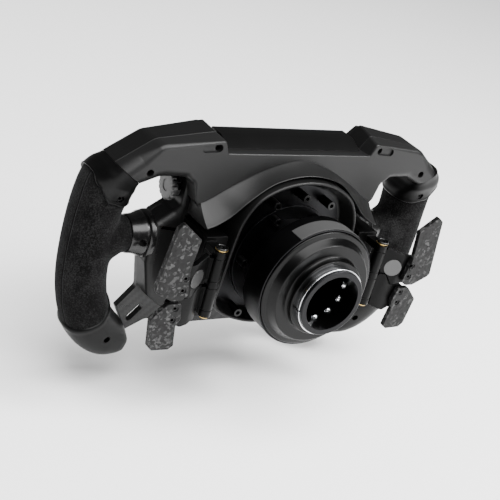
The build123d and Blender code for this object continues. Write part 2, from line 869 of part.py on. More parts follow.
def paddle_arm(low_knuckle, high_knuckle, outer_corners, seat_depth):
    """One hinge arm: a barrel between two knuckles and a bent plate for the blade."""
    barrel_low = low_knuckle + knuckle_height / 2 + gap
    barrel_high = high_knuckle - knuckle_height / 2 - gap
    slope = tan(radians(arm_tilt))
    bend_x = magnet_x - (seat_depth - magnet_depth) / slope
    root_x = hinge_x + knuckle_radius * 0.6
    root_depth = magnet_depth + (magnet_x - root_x) * slope
    rise = arm_thickness / cos(radians(arm_tilt))
    with BuildPart() as arm:
        with BuildSketch(Plane.XY.offset(arm_floor)):
            with BuildLine() as plan:
                Polyline(
                    (root_x, -root_depth),
                    (bend_x, -seat_depth),
                    (arm_out, -seat_depth),
                    (arm_out, -seat_depth - arm_thickness),
                    (bend_x + arm_thickness * slope / 2, -seat_depth - arm_thickness),
                    (root_x, -root_depth - rise),
                    close=True,
                )
            make_face(plan.edges())
        extrude(amount=arm_roof - arm_floor)
        with BuildSketch(at_depth(hinge_depth - 2 * knuckle_radius)):
            outline(outer_corners)
            with Locations((root_x + 2, (barrel_low + barrel_high) / 2)):
                Rectangle(arm_in - hinge_x, barrel_high - barrel_low, align=(Align.MIN, Align.CENTER))
        extrude(amount=4 * knuckle_radius, mode=Mode.INTERSECT)
        with BuildSketch(Plane.XY.offset(barrel_low)):
            with Locations((hinge_x, -hinge_depth)):
                Circle(knuckle_radius)
            with BuildLine() as web:
                Polyline(
                    (hinge_x, -hinge_depth),
                    (arm_in, -magnet_depth - (magnet_x - arm_in) * slope),
                    (arm_in, -magnet_depth - (magnet_x - arm_in) * slope - rise),
                    (hinge_x - 1.0, -hinge_depth - knuckle_radius + 0.1),
                    close=True,
                )
            make_face(web.edges())
            with Locations((hinge_x, -hinge_depth)):
                Circle(pin_radius + fit, mode=Mode.SUBTRACT)
        extrude(amount=barrel_high - barrel_low)
    return arm


def paddle_blade(corners, screw_spots, rear):
    """A flat blade with two screw holes."""
    with BuildPart() as blade:
        with BuildSketch(at_depth(rear)):
            outline(corners)
            with Locations(*screw_spots):
                Circle(screw_head + fit, mode=Mode.SUBTRACT)
        extrude(amount=blade_thickness)
    return blade


def paddle_screws(screw_spots, rear):
    """The two socket screws that hold a blade on its arm."""
    with BuildPart() as screws:
        with BuildSketch(at_depth(rear + 0.6)):
            with Locations(*screw_spots):
                Circle(screw_head)
                RegularPolygon(screw_socket, 6, mode=Mode.SUBTRACT)
        extrude(amount=blade_thickness - 0.6)
    return screws


arm_in = hinge_x + knuckle_radius + 2.9
arm_gap = 0.5
arm_floor = -40.0
arm_roof = 20.0
arm_out = 99.5
shift_rear = 32.3
clutch_rear = 34.8
arm_step = (knuckle_zs[1], arm_split)
shift_plate = (
    (arm_in, 16.5, 1.0),
    (88.0, 12.0, 3.0),
    (arm_out, 10.0, 3.0),
    (arm_out, arm_step[1] + 2.5, 3.0),
    (arm_in + 9.6, arm_step[1] + arm_gap, 1.0),
    (arm_in + 4.6, arm_step[0] + arm_gap, 1.0),
    (arm_in, arm_step[0] + arm_gap, 1.0),
)
clutch_plate = (
    (arm_in, arm_step[0] - arm_gap, 1.0),
    (arm_in + 4.6, arm_step[0] - arm_gap, 1.0),
    (arm_in + 9.6, arm_step[1] - arm_gap, 1.0),
    (arm_out, arm_step[1] - arm_gap - 2.0, 3.0),
    (arm_out, -30.5, 3.0),
    (90.5, -32.5, 4.0),
    (86.0, -35.0, 3.0),
    (arm_in, -31.5, 1.5),
)

shift_arm = paddle_arm(
    knuckle_zs[1], knuckle_zs[0], shift_plate, shift_rear + blade_thickness
)
magnet_seat = Plane(
    (magnet_x, -magnet_depth, magnet_z),
    x_dir=(cos(radians(arm_tilt)), sin(radians(arm_tilt)), 0),
    z_dir=(sin(radians(arm_tilt)), -cos(radians(arm_tilt)), 0),
)
magnet_thickness = 2.4
with BuildPart() as shift_arm_bored:
    add(shift_arm.part)
    with BuildSketch(magnet_seat):
        Circle(magnet_radius + fit)
    extrude(amount=magnet_thickness, mode=Mode.SUBTRACT)
save_pair(shift_arm_bored, "shift_arm")

with BuildPart() as shift_magnet:
    with BuildSketch(magnet_seat):
        Circle(magnet_radius)
    extrude(amount=magnet_thickness)
save_pair(shift_magnet, "shift_magnet")
save_pair(paddle_blade(SHIFT_BLADE, shift_screws, shift_rear), "shift_blade")
save_pair(paddle_screws(shift_screws, shift_rear), "shift_screws")

clutch_arm = paddle_arm(
    knuckle_zs[2], knuckle_zs[1], clutch_plate, clutch_rear + blade_thickness
)
save_pair(clutch_arm, "clutch_arm")
save_pair(paddle_blade(CLUTCH_BLADE, clutch_screws, clutch_rear), "clutch_blade")
save_pair(paddle_screws(clutch_screws, clutch_rear), "clutch_screws")

# ---- controls ------------------------------------------------------------------
with BuildPart() as thumb_wheel:
    for start, end, radius in (
        (thumb_x - wall - 1.0, thumb_x + gap, axle_radius),
        (thumb_x + gap, thumb_x + 4.2, thumb_radius - 1.8),
        (thumb_x + 4.2, thumb_x + 8.0, thumb_radius),
    ):
        with BuildSketch(Plane.YZ.offset(start)):
            with Locations((-thumb_depth, thumb_z)):
                Circle(radius)
                if radius > axle_radius:
                    with PolarLocations(radius, 24):
                        Circle(0.5, mode=Mode.SUBTRACT)
        extrude(amount=end - start)
save_pair(thumb_wheel, "thumb_wheel")

button_face = face_depth + 5.0
for number, (x, z) in enumerate(button_spots, start=1):
    with BuildPart() as button:
        with BuildSketch(at_depth(board_depth + 3.5 + button_travel)):
            with Locations((x, z)):
                Circle(button_radius)
        extrude(amount=button_face - board_depth - 3.5 - button_travel)
        front_rim = button.faces().sort_by(Axis.Y)[0].edges()
        fillet(front_rim, radius=1.0)
    save_pair(button, f"button_{number}")

for name, (x, z) in zip(knob_names, knob_spots):
    with BuildPart() as knob:
        with BuildSketch(at_depth(board_depth + 3.0)):
            with Locations((x, z)):
                Circle(axle_radius)
        extrude(amount=face_depth + gap - board_depth - 3.0)
        with BuildSketch(at_depth(face_depth + gap)):
            with Locations((x, z)):
                Circle(knob_radius)
                with PolarLocations(knob_radius, 20):
                    Circle(0.7, mode=Mode.SUBTRACT)
        extrude(amount=knob_height)
        with BuildSketch(at_depth(face_depth + gap + knob_height)):
            with Locations((x, z + knob_radius / 2)):
                Rectangle(1.2, knob_radius - 2)
        extrude(amount=-0.8, mode=Mode.SUBTRACT)
    save(knob, f"knob_{name}")
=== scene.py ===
import logging
import math
from dataclasses import dataclass
from enum import Enum
from typing import Callable

import bmesh
import bpy
from mathutils import Matrix, Vector


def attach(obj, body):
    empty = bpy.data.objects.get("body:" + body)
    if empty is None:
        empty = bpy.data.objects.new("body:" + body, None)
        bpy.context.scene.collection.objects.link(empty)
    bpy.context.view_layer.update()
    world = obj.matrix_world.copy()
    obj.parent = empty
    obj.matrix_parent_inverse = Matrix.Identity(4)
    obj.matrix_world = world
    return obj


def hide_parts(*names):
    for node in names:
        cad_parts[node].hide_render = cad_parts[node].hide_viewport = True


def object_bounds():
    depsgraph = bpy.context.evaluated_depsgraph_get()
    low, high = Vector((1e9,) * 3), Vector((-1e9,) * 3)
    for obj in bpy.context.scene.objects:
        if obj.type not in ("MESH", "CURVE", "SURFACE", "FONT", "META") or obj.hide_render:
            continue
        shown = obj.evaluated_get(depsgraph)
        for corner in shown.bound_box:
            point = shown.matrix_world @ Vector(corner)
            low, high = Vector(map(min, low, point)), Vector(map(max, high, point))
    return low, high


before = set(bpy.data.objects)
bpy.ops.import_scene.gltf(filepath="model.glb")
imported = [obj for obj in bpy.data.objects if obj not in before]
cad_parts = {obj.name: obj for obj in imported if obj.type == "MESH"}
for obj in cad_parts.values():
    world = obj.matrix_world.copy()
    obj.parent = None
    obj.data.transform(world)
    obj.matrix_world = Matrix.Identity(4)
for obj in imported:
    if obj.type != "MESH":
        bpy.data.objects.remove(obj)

log = logging.getLogger("racing_wheel")

MM = 0.001
CAD_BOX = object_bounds()
SIDES = {"right": 1.0, "left": -1.0}


# ---- small tools -------------------------------------------------------------
def linear(code: str) -> tuple[float, float, float, float]:
    """Turn an sRGB hex colour into linear RGBA.

    Args:
        code: Six hex digits, such as "2a2b2d".

    Returns:
        The linear colour with an alpha of 1.
    """
    parts = [int(code[i : i + 2], 16) / 255 for i in (0, 2, 4)]
    red, green, blue = [c / 12.92 if c <= 0.04045 else ((c + 0.055) / 1.055) ** 2.4 for c in parts]
    return red, green, blue, 1.0


def put(
    tree: bpy.types.NodeTree,
    kind: str,
    props: dict | None = None,
    inputs: dict | None = None,
    links: dict | None = None,
) -> bpy.types.Node:
    """Add one shader node with its settings and links.

    Args:
        tree: The material's node tree.
        kind: The node's type after "ShaderNode", such as "TexNoise".
        props: Settings of the node itself.
        inputs: Values of its input sockets, by name or number.
        links: Output sockets that feed its inputs, by name or number.

    Returns:
        The new node.
    """
    node = tree.nodes.new("ShaderNode" + kind)
    for name, value in (props or {}).items():
        setattr(node, name, value)
    for name, value in (inputs or {}).items():
        node.inputs[name].default_value = value
    for name, socket in (links or {}).items():
        tree.links.new(socket, node.inputs[name])
    return node


def ramp(tree: bpy.types.NodeTree, source: bpy.types.NodeSocket, stops: list[tuple]) -> bpy.types.Node:
    """Add a colour ramp.

    Args:
        tree: The material's node tree.
        source: The value that drives the ramp.
        stops: Pairs of position and linear colour, in order.

    Returns:
        The ramp node.
    """
    node = put(tree, "ValToRGB", links={"Fac": source})
    band = node.color_ramp
    while len(band.elements) < len(stops):
        band.elements.new(0.5)
    for element, (place, colour) in zip(band.elements, stops):
        element.position = place
        element.color = colour
    return node


# ---- finishes ------------------------------------------------------------------
@dataclass(frozen=True)
class Finish:
    """What every finish has: a name, a colour and how rough it is."""

    name: str
    colour: str
    roughness: float
    slot: str

    def start(self) -> tuple[bpy.types.Material, bpy.types.NodeTree, bpy.types.Node, bpy.types.Node]:
        """Make the material with its shader.

        Returns:
            The material, its tree, its Principled shader and its coordinate node.
        """
        material = bpy.data.materials.new(self.name)
        material.use_nodes = True
        tree = material.node_tree
        tree.nodes.clear()
        shader = put(tree, "BsdfPrincipled", inputs={"Roughness": self.roughness})
        shader.inputs["Base Color"].default_value = linear(self.colour)
        put(tree, "OutputMaterial", links={"Surface": shader.outputs[0]})
        place = put(tree, "TexCoord")
        return material, tree, shader, place

    def bump(
        self,
        tree: bpy.types.NodeTree,
        shader: bpy.types.Node,
        height: bpy.types.NodeSocket,
        depth_mm: float,
        strength: float = 1.0,
    ) -> None:
        """Feed a height pattern to the shader's normal.

        Args:
            tree: The material's node tree.
            shader: The Principled shader.
            height: The pattern, from 0 to 1.
            depth_mm: How deep the pattern is.
            strength: How much of it shows.
        """
        node = put(
            tree,
            "Bump",
            inputs={"Distance": depth_mm * MM, "Strength": strength},
            links={"Height": height},
        )
        tree.links.new(node.outputs["Normal"], shader.inputs["Normal"])

    def wear(
        self,
        tree: bpy.types.NodeTree,
        shader: bpy.types.Node,
        place: bpy.types.Node,
        size_mm: float,
        spread: float,
    ) -> None:
        """Vary the roughness softly, as handling does.

        Args:
            tree: The material's node tree.
            shader: The Principled shader.
            place: The coordinate node.
            size_mm: The size of the patches.
            spread: How far the roughness moves either way.
        """
        patches = put(
            tree,
            "TexNoise",
            inputs={"Scale": 1 / (size_mm * MM), "Detail": 4.0, "Roughness": 0.6},
            links={"Vector": place.outputs["Object"]},
        )
        spread_node = put(
            tree,
            "MapRange",
            inputs={"To Min": self.roughness - spread, "To Max": self.roughness + spread},
            links={"Value": patches.outputs["Fac"]},
        )
        tree.links.new(spread_node.outputs["Result"], shader.inputs["Roughness"])

    def make(self) -> bpy.types.Material:
        """Build the material."""
        return self.start()[0]


@dataclass(frozen=True)
class MouldedPlastic(Finish):
    """Injection-moulded ABS with a spark-eroded grain, which the eye reads as satin."""

    grain_mm: float = 0.35
    grain_depth_mm: float = 0.012
    coat: float = 0.0
    shine: float = 0.19

    def make(self) -> bpy.types.Material:
        """Build the material."""
        material, tree, shader, place = self.start()
        shader.inputs["Specular IOR Level"].default_value = self.shine
        shader.inputs["Coat Weight"].default_value = self.coat
        shader.inputs["Coat Roughness"].default_value = 0.25
        grain = put(
            tree,
            "TexNoise",
            inputs={"Scale": 1 / (self.grain_mm * MM), "Detail": 3.0, "Roughness": 0.65},
            links={"Vector": place.outputs["Object"]},
        )
        self.bump(tree, shader, grain.outputs["Fac"], self.grain_depth_mm)
        self.wear(tree, shader, place, 18.0, 0.05)
        return material


@dataclass(frozen=True)
class Suede(Finish):
    """Brushed microfibre suede: a short nap that lies in patches and catches light at the edge."""

    nap_mm: float = 0.9
    pale: str = "1d1d1d"

    def make(self) -> bpy.types.Material:
        """Build the material."""
        material, tree, shader, place = self.start()
        shader.inputs["Sheen Weight"].default_value = 0.07
        shader.inputs["Sheen Roughness"].default_value = 0.4
        shader.inputs["Sheen Tint"].default_value = linear("b4b4b6")
        shader.inputs["Specular IOR Level"].default_value = 0.06
        brushed = put(
            tree,
            "TexNoise",
            inputs={"Scale": 1 / (14.0 * MM), "Detail": 5.0, "Roughness": 0.62, "Distortion": 0.6},
            links={"Vector": place.outputs["Object"]},
        )
        nap = put(
            tree,
            "TexNoise",
            inputs={"Scale": 1 / (self.nap_mm * MM), "Detail": 4.0, "Roughness": 0.75},
            links={"Vector": place.outputs["Object"]},
        )
        both = put(
            tree,
            "Mix",
            props={"data_type": "FLOAT"},
            inputs={"Factor": 0.75},
            links={"A": brushed.outputs["Fac"], "B": nap.outputs["Fac"]},
        )
        shades = ramp(
            tree,
            both.outputs["Result"],
            [(0.48, linear(self.colour)), (0.58, linear(self.pale))],
        )
        side = put(tree, "Attribute", props={"attribute_name": "seam_mm"})
        away = put(
            tree, "Math", props={"operation": "ABSOLUTE"}, links={0: side.outputs["Fac"]}
        )
        stitched = put(
            tree,
            "MapRange",
            inputs={"From Min": 0.35, "From Max": 0.75},
            links={"Value": away.outputs[0]},
        )
        seamed = put(
            tree,
            "Mix",
            props={"data_type": "RGBA"},
            inputs={"A": linear("010101")},
            links={"Factor": stitched.outputs["Result"], "B": shades.outputs["Color"]},
        )
        tree.links.new(seamed.outputs["Result"], shader.inputs["Base Color"])
        raised = put(
            tree,
            "Math",
            props={"operation": "MULTIPLY_ADD"},
            inputs={1: 1.2},
            links={0: stitched.outputs["Result"], 2: nap.outputs["Fac"]},
        )
        self.bump(tree, shader, raised.outputs[0], 0.35, 1.0)
        return material


@dataclass(frozen=True)
class ForgedCarbon(Finish):
    """Pressed chopped carbon: flat flakes at all angles under a thin lacquer."""

    flake_mm: float = 1.7
    pale: str = "484848"

    def make(self) -> bpy.types.Material:
        """Build the material."""
        material, tree, shader, place = self.start()
        shader.inputs["Metallic"].default_value = 0.12
        shader.inputs["Coat Weight"].default_value = 0.0
        shader.inputs["Specular IOR Level"].default_value = 0.14
        shader.inputs["Coat Roughness"].default_value = 0.28
        bent = put(
            tree,
            "TexNoise",
            inputs={"Scale": 1 / (5.0 * MM), "Detail": 2.0},
            links={"Vector": place.outputs["Object"]},
        )
        offset = put(
            tree,
            "VectorMath",
            props={"operation": "MULTIPLY_ADD"},
            inputs={1: (0.004, 0.004, 0.004)},
            links={0: bent.outputs["Color"], 2: place.outputs["Object"]},
        )
        flakes = put(
            tree,
            "TexVoronoi",
            inputs={"Scale": 1 / (self.flake_mm * MM), "Randomness": 1.0},
            links={"Vector": offset.outputs["Vector"]},
        )
        strands = put(
            tree,
            "TexNoise",
            inputs={"Scale": 1 / (0.5 * MM), "Detail": 3.0, "Roughness": 0.7},
            links={"Vector": offset.outputs["Vector"]},
        )
        tone = put(tree, "SeparateColor", links={"Color": flakes.outputs["Color"]})
        mixed = put(
            tree,
            "Mix",
            props={"data_type": "FLOAT"},
            inputs={"Factor": 0.35},
            links={"A": tone.outputs["Red"], "B": strands.outputs["Fac"]},
        )
        shades = ramp(
            tree,
            mixed.outputs["Result"],
            [
                (0.2, linear(self.colour)),
                (0.66, linear("131313")),
                (0.9, linear(self.pale)),
            ],
        )
        tree.links.new(shades.outputs["Color"], shader.inputs["Base Color"])
        shine = put(
            tree,
            "MapRange",
            inputs={"To Min": self.roughness - 0.12, "To Max": self.roughness + 0.16},
            links={"Value": tone.outputs["Green"]},
        )
        tree.links.new(shine.outputs["Result"], shader.inputs["Roughness"])
        self.bump(tree, shader, mixed.outputs["Result"], 0.04, 0.5)
        return material


@dataclass(frozen=True)
class WovenCarbon(Finish):
    """Carbon cloth in a two-over-two twill under satin lacquer: tows catch light in turn."""

    tow_mm: float = 2.0
    pale: str = "1b1b1b"

    def make(self) -> bpy.types.Material:
        """Build the material."""
        material, tree, shader, place = self.start()
        shader.inputs["Specular IOR Level"].default_value = 0.25
        split = put(tree, "SeparateXYZ", links={"Vector": place.outputs["Object"]})
        steps = []
        for axis in ("X", "Z"):
            tow = put(
                tree,
                "Math",
                props={"operation": "MULTIPLY"},
                inputs={1: 1 / (self.tow_mm * MM)},
                links={0: split.outputs[axis]},
            )
            steps.append(put(tree, "Math", props={"operation": "FLOOR"}, links={0: tow.outputs[0]}))
        stair = put(
            tree,
            "Math",
            props={"operation": "ADD"},
            links={0: steps[0].outputs[0], 1: steps[1].outputs[0]},
        )
        turn = put(
            tree,
            "Math",
            props={"operation": "FLOORED_MODULO"},
            inputs={1: 4.0},
            links={0: stair.outputs[0]},
        )
        over = put(
            tree,
            "Math",
            props={"operation": "LESS_THAN"},
            inputs={1: 1.5},
            links={0: turn.outputs[0]},
        )
        fibres = put(
            tree,
            "TexNoise",
            inputs={"Scale": 1 / (0.4 * MM), "Detail": 2.0},
            links={"Vector": place.outputs["Object"]},
        )
        tone = put(
            tree,
            "Mix",
            props={"data_type": "FLOAT"},
            inputs={"Factor": 0.25},
            links={"A": over.outputs[0], "B": fibres.outputs["Fac"]},
        )
        shades = ramp(
            tree,
            tone.outputs["Result"],
            [(0.1, linear(self.colour)), (0.9, linear(self.pale))],
        )
        tree.links.new(shades.outputs["Color"], shader.inputs["Base Color"])
        self.bump(tree, shader, tone.outputs["Result"], 0.03, 0.6)
        return material


class Turning(Enum):
    """How a metal surface was finished."""

    TURNED = "turned"
    BLASTED = "blasted"
    POLISHED = "polished"


@dataclass(frozen=True)
class Metal(Finish):
    """Machined metal, bare, anodised or plated, with the marks that its finishing left."""

    turning: Turning = Turning.BLASTED
    mark_mm: float = 0.25

    def make(self) -> bpy.types.Material:
        """Build the material."""
        material, tree, shader, place = self.start()
        shader.inputs["Metallic"].default_value = 1.0
        if self.turning is Turning.TURNED:
            split = put(tree, "SeparateXYZ", links={"Vector": place.outputs["Object"]})
            flat = put(
                tree,
                "CombineXYZ",
                links={"X": split.outputs["X"], "Z": split.outputs["Z"]},
            )
            radius = put(tree, "VectorMath", props={"operation": "LENGTH"}, links={0: flat.outputs[0]})
            lathe = put(
                tree,
                "CombineXYZ",
                links={"X": radius.outputs["Value"], "Y": split.outputs["Y"]},
            )
            marks = put(
                tree,
                "TexNoise",
                inputs={"Scale": 1 / (self.mark_mm * MM), "Detail": 2.0},
                links={"Vector": lathe.outputs[0]},
            )
            self.bump(tree, shader, marks.outputs["Fac"], 0.006)
        elif self.turning is Turning.BLASTED:
            marks = put(
                tree,
                "TexNoise",
                inputs={"Scale": 1 / (self.mark_mm * MM), "Detail": 3.0},
                links={"Vector": place.outputs["Object"]},
            )
            self.bump(tree, shader, marks.outputs["Fac"], 0.01)
        if self.turning is not Turning.POLISHED:
            self.wear(tree, shader, place, 12.0, 0.05)
        return material


FINISHES: dict[str, Finish] = {
    "black": MouldedPlastic("satin_black_abs", "080808", 0.42, "satin_black_plastic"),
    "shell": MouldedPlastic("satin_grey_abs", "121212", 0.38, "dark_grey_shell"),
    "suede": Suede("black_suede", "030303", 0.95, "suede"),
    "carbon": ForgedCarbon("forged_carbon", "090909", 0.42, "forged_carbon"),
    "turned": Metal("turned_black_aluminium", "1e1e1f", 0.34, "anodised_black", Turning.TURNED),
    "collar": Metal("turned_grey_aluminium", "1e1e1e", 0.3, "anodised_grey", Turning.TURNED),
    "blasted": Metal("blasted_grey_aluminium", "161616", 0.4, "anodised_grey"),
    "chrome": Metal("polished_steel", "d8d9dc", 0.08, "chrome", Turning.POLISHED),
    "gloss": MouldedPlastic("polished_black_abs", "0a0a0a", 0.24, "anodised_black", coat=0.3),
    "oxide": Metal("black_oxide_steel", "262626", 0.34, "black_steel"),
    "spring": Metal("spring_wire", "8d8f93", 0.3, "spring_steel"),
    "brass": Metal("turned_brass", "b89c62", 0.28, "brass"),
    "magnet": Metal("matt_nickel", "4e4e4e", 0.45, "magnet"),
    "strip": MouldedPlastic("pale_print", "333333", 0.5, "blank_strip"),
    "plate": WovenCarbon("woven_carbon", "0c0c0c", 0.38, "face_carbon"),
    # cap: a darker, duller copy of the satin black plastic, for the grip caps and the top band; the extra
    # darkness is painted shade
    "cap": MouldedPlastic("shaded_black_abs", "050505", 0.36, "satin_black_plastic", shine=0.11),
    # roller: a much paler copy of the anodised grey aluminium, for the thumb wheels; its pale grey is
    # painted reflection on the flat discs
    "roller": Metal("lit_pale_grey_aluminium", "555555", 0.5, "anodised_grey"),
    "glass": MouldedPlastic("cover_glass", "060607", 0.08, "display_glass", coat=1.0),
    "lens": MouldedPlastic("frosted_lens", "c9ccd0", 0.4, "light_lens"),
    "board": MouldedPlastic("solder_mask", "15402a", 0.4, "board_green"),
    "rubber": MouldedPlastic("soft_rubber", "1c1c1e", 0.7, "button_rubber"),
}

NODE_FINISH: dict[str, tuple[str, ...]] = {
    "black": (
        "front_housing", "hub_housing", "upper_cap", "lower_cap",
        "display_bezel", "grip_cores", "contact_block",
    ),
    "cap": ("top_band",),
    "shell": ("rear_shell", "swoosh_trim"),
    "suede": ("grip_wrap",),
    "carbon": ("shift_blade", "clutch_blade"),
    "turned": ("quick_release_", "ball_sleeve", "branch_collars", "hub_plate"),
    "collar": ("release_collar",),
    "blasted": ("paddle_bracket", "shift_arm", "clutch_arm", "thumb_wheel", "knob_"),
    "chrome": ("locking_balls", "snap_ring"),
    "oxide": ("hub_screws", "housing_screws", "hinge_pins", "shift_screws", "clutch_screws"),
    "spring": ("collar_spring",),
    "brass": ("hinge_bushings",),
    "magnet": ("shift_magnet",),
    "strip": ("id_band",),
    "plate": ("face_plate",),
    "glass": ("display_glass",),
    "lens": ("light_bar",),
    "board": ("main_board",),
    "rubber": ("button_",),
}


REMODELLED = (
    "rear_shell", "front_housing", "hub_housing", "swoosh_trim", "grip_wrap", "upper_cap", "lower_cap",
    "branch_collars", "hinge_pins", "hinge_bushings", "thumb_wheel",
)
EDGE_BREAKS = {"black": 0.5, "cap": 0.5, "shell": 0.5, "turned": 0.25, "oxide": 0.12, "brass": 0.1}


class Workshop:
    """Makes each finish once, and dresses pieces and CAD nodes with it."""

    def __init__(self) -> None:
        """Build every material."""
        self.materials = {key: finish.make() for key, finish in FINISHES.items()}

    def dress_node(self, name: str) -> None:
        """Give a CAD node its finish.

        Args:
            name: The node's name.
        """
        key = next(k for k, starts in NODE_FINISH.items() if name.startswith(starts))
        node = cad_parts[name]
        node.data.materials.clear()
        node.data.materials.append(self.materials[key])
        if not name.startswith(REMODELLED):
            self.break_edges(node, EDGE_BREAKS.get(key, 0.3))
        log.info("node %s: %s", name, key)

    @staticmethod
    def break_edges(node: bpy.types.Object, width_mm: float) -> None:
        """Round a machined or moulded node's sharp edges as its tool would.

        Args:
            node: The CAD node.
            width_mm: How wide the rounding is.
        """
        normals = node.data.attributes.get("custom_normal")
        if normals:
            node.data.attributes.remove(normals)
        node.data.shade_smooth()
        weld = node.modifiers.new("weld", "WELD")
        weld.merge_threshold = 2e-6
        flat = node.modifiers.new("flat", "DECIMATE")
        flat.decimate_type = "DISSOLVE"
        flat.angle_limit = math.radians(0.5)
        bevel = node.modifiers.new("edge_break", "BEVEL")
        bevel.width = width_mm * MM
        bevel.segments = 2
        bevel.limit_method = "ANGLE"
        bevel.angle_limit = math.radians(35)
        bevel.use_clamp_overlap = False
        bevel.harden_normals = False
        even = node.modifiers.new("even", "WEIGHTED_NORMAL")
        even.weight = 80
        even.keep_sharp = False


# ---- shape tools ---------------------------------------------------------------
def smooth_step(value: float, low: float, high: float) -> float:
    """Rise smoothly from 0 at one value to 1 at another.

    Args:
        value: Where to look.
        low: Where the rise starts.
        high: Where it ends.

    Returns:
        A share from 0 to 1.
    """
    share = min(1.0, max(0.0, (value - low) / (high - low)))
    return share * share * (3 - 2 * share)


def through(points: list[tuple[float, ...]], place: float) -> tuple[float, ...]:
    """Read a smooth curve that passes through every point of a list.

    Args:
        points: The points, each with any number of values.
        place: Which point, counted from 0; fractions lie between two of them.

    Returns:
        The values there.
    """
    last = len(points) - 1
    start = min(last - 1, max(0, int(place)))
    share = place - start
    before, here, there, after = (
        points[min(last, max(0, k))] for k in (start - 1, start, start + 1, start + 2)
    )
    return tuple(
        0.5 * (2 * p1 + (p2 - p0) * share + (2 * p0 - 5 * p1 + 4 * p2 - p3) * share**2
               + (3 * p1 - p0 - 3 * p2 + p3) * share**3)
        for p0, p1, p2, p3 in zip(before, here, there, after)
    )


def skin(
    bm: bmesh.types.BMesh,
    place: Callable[[float, float], Vector],
    around: int,
    along: int,
    closed: bool = True,
) -> None:
    """Lay a grid over a surface and close it where its two sides meet.

    Args:
        bm: The mesh to add to.
        place: Gives the point, in mm, at two shares from 0 to 1.
        around: Number of faces round the surface.
        along: Number of faces along it.
        closed: Whether its open ends are filled.
    """
    made = bmesh.ops.create_grid(bm, x_segments=around, y_segments=along, size=0.5)
    for vert in made["verts"]:
        vert.co = place(vert.co.x + 0.5, vert.co.y + 0.5) * MM
    bmesh.ops.remove_doubles(bm, verts=made["verts"], dist=0.002 * MM)
    if closed:
        edges = [edge for edge in bm.edges if edge.is_boundary]
        bmesh.ops.holes_fill(bm, edges=edges, sides=0)


def rounded(corners: list[tuple[float, float, float]], steps: int = 7) -> list[tuple[float, float]]:
    """Round the corners of a closed outline.

    Args:
        corners: Each corner's x, z and radius.
        steps: Number of faces on each rounding.

    Returns:
        The outline's points, as many for every outline with the same number of corners.
    """
    points = []
    for k, (x, z, radius) in enumerate(corners):
        here = Vector((x, z))
        back = Vector(corners[k - 1][:2]) - here
        ahead = Vector(corners[(k + 1) % len(corners)][:2]) - here
        half = back.angle(ahead) / 2
        reach = min(radius / math.tan(half), 0.49 * back.length, 0.49 * ahead.length)
        radius = reach * math.tan(half)
        middle = here + (back.normalized() + ahead.normalized()).normalized() * (radius / math.sin(half))
        start = here + back.normalized() * reach - middle
        turn = start.angle_signed(here + ahead.normalized() * reach - middle, 0.0)
        for step in range(steps + 1):
            spin = Matrix.Rotation(-turn * step / steps, 2)
            points.append(tuple(middle + spin @ start))
    return points


def mirrored(half: list[tuple]) -> list[tuple]:
    """A right-hand list of corners, followed by its mirror image.

    Args:
        half: Corners from the top outwards and down, each with x first.

    Returns:
        The closed list.
    """
    other = [(-rear_x, rear_z, -front_x, *rest) for rear_x, rear_z, front_x, *rest in reversed(half)]
    return list(half) + other


def inward(points: list[tuple[float, float]]) -> list[Vector]:
    """The direction into an outline at each of its points, scaled for even insets.

    Args:
        points: The outline, clockwise.

    Returns:
        One vector for each point.
    """
    ways = []
    for k, here in enumerate(points):
        back = Vector(points[k - 1])
        ahead = Vector(points[(k + 1) % len(points)])
        first = (Vector(here) - back).normalized()
        second = (ahead - Vector(here)).normalized()
        turn = Vector((first.y, -first.x)) + Vector((second.y, -second.x))
        ways.append(turn / max(0.5, turn.length_squared / 2))
    return ways


@dataclass(frozen=True)
class Well:
    """A pocket sunk from behind along the steering axis; a reach makes it a slot."""

    x: float
    z: float
    floor: float
    radius: float = 2.5
    reach: float = 0.0
    tilt: float = 0.0

    def cut(self, bm: bmesh.types.BMesh, start: float) -> None:
        """Add the pocket's volume to a mesh.

        Args:
            bm: The mesh.
            start: Depth where it starts, clear of the surface.
        """
        turned = Matrix.Rotation(math.radians(self.tilt), 2)
        ring = bmesh.ops.create_circle(bm, cap_ends=True, segments=36, radius=self.radius)["verts"]
        for vert in ring:
            flat = Vector((vert.co.x + math.copysign(self.reach, vert.co.x), vert.co.y))
            flat = turned @ flat
            vert.co = Vector((self.x + flat.x, -start, self.z + flat.y)) * MM
        lid = [face for face in bm.faces if all(vert in ring for vert in face.verts)]
        made = bmesh.ops.extrude_face_region(bm, geom=lid, use_keep_orig=True)["geom"]
        moved = [item for item in made if isinstance(item, bmesh.types.BMVert)]
        bmesh.ops.translate(bm, vec=(0, (start - self.floor) * MM, 0), verts=moved)


def loose_object(bm: bmesh.types.BMesh, name: str) -> bpy.types.Object:
    """Put a mesh in the scene for a moment.

    Args:
        bm: The mesh, which is used up.
        name: The object's name.

    Returns:
        The object.
    """
    bmesh.ops.recalc_face_normals(bm, faces=bm.faces)
    mesh = bpy.data.meshes.new(name)
    bm.to_mesh(mesh)
    bm.free()
    holder = bpy.data.objects.new(name, mesh)
    bpy.context.scene.collection.objects.link(holder)
    return holder


def settled(holder: bpy.types.Object) -> bmesh.types.BMesh:
    """Apply an object's modifiers and take it out of the scene.

    Args:
        holder: The object.

    Returns:
        Its final mesh.
    """
    graph = bpy.context.evaluated_depsgraph_get()
    mesh = bpy.data.meshes.new_from_object(holder.evaluated_get(graph), depsgraph=graph)
    rough = holder.data
    bpy.data.objects.remove(holder)
    bpy.data.meshes.remove(rough)
    bm = bmesh.new()
    bm.from_mesh(mesh)
    bpy.data.meshes.remove(mesh)
    return bm


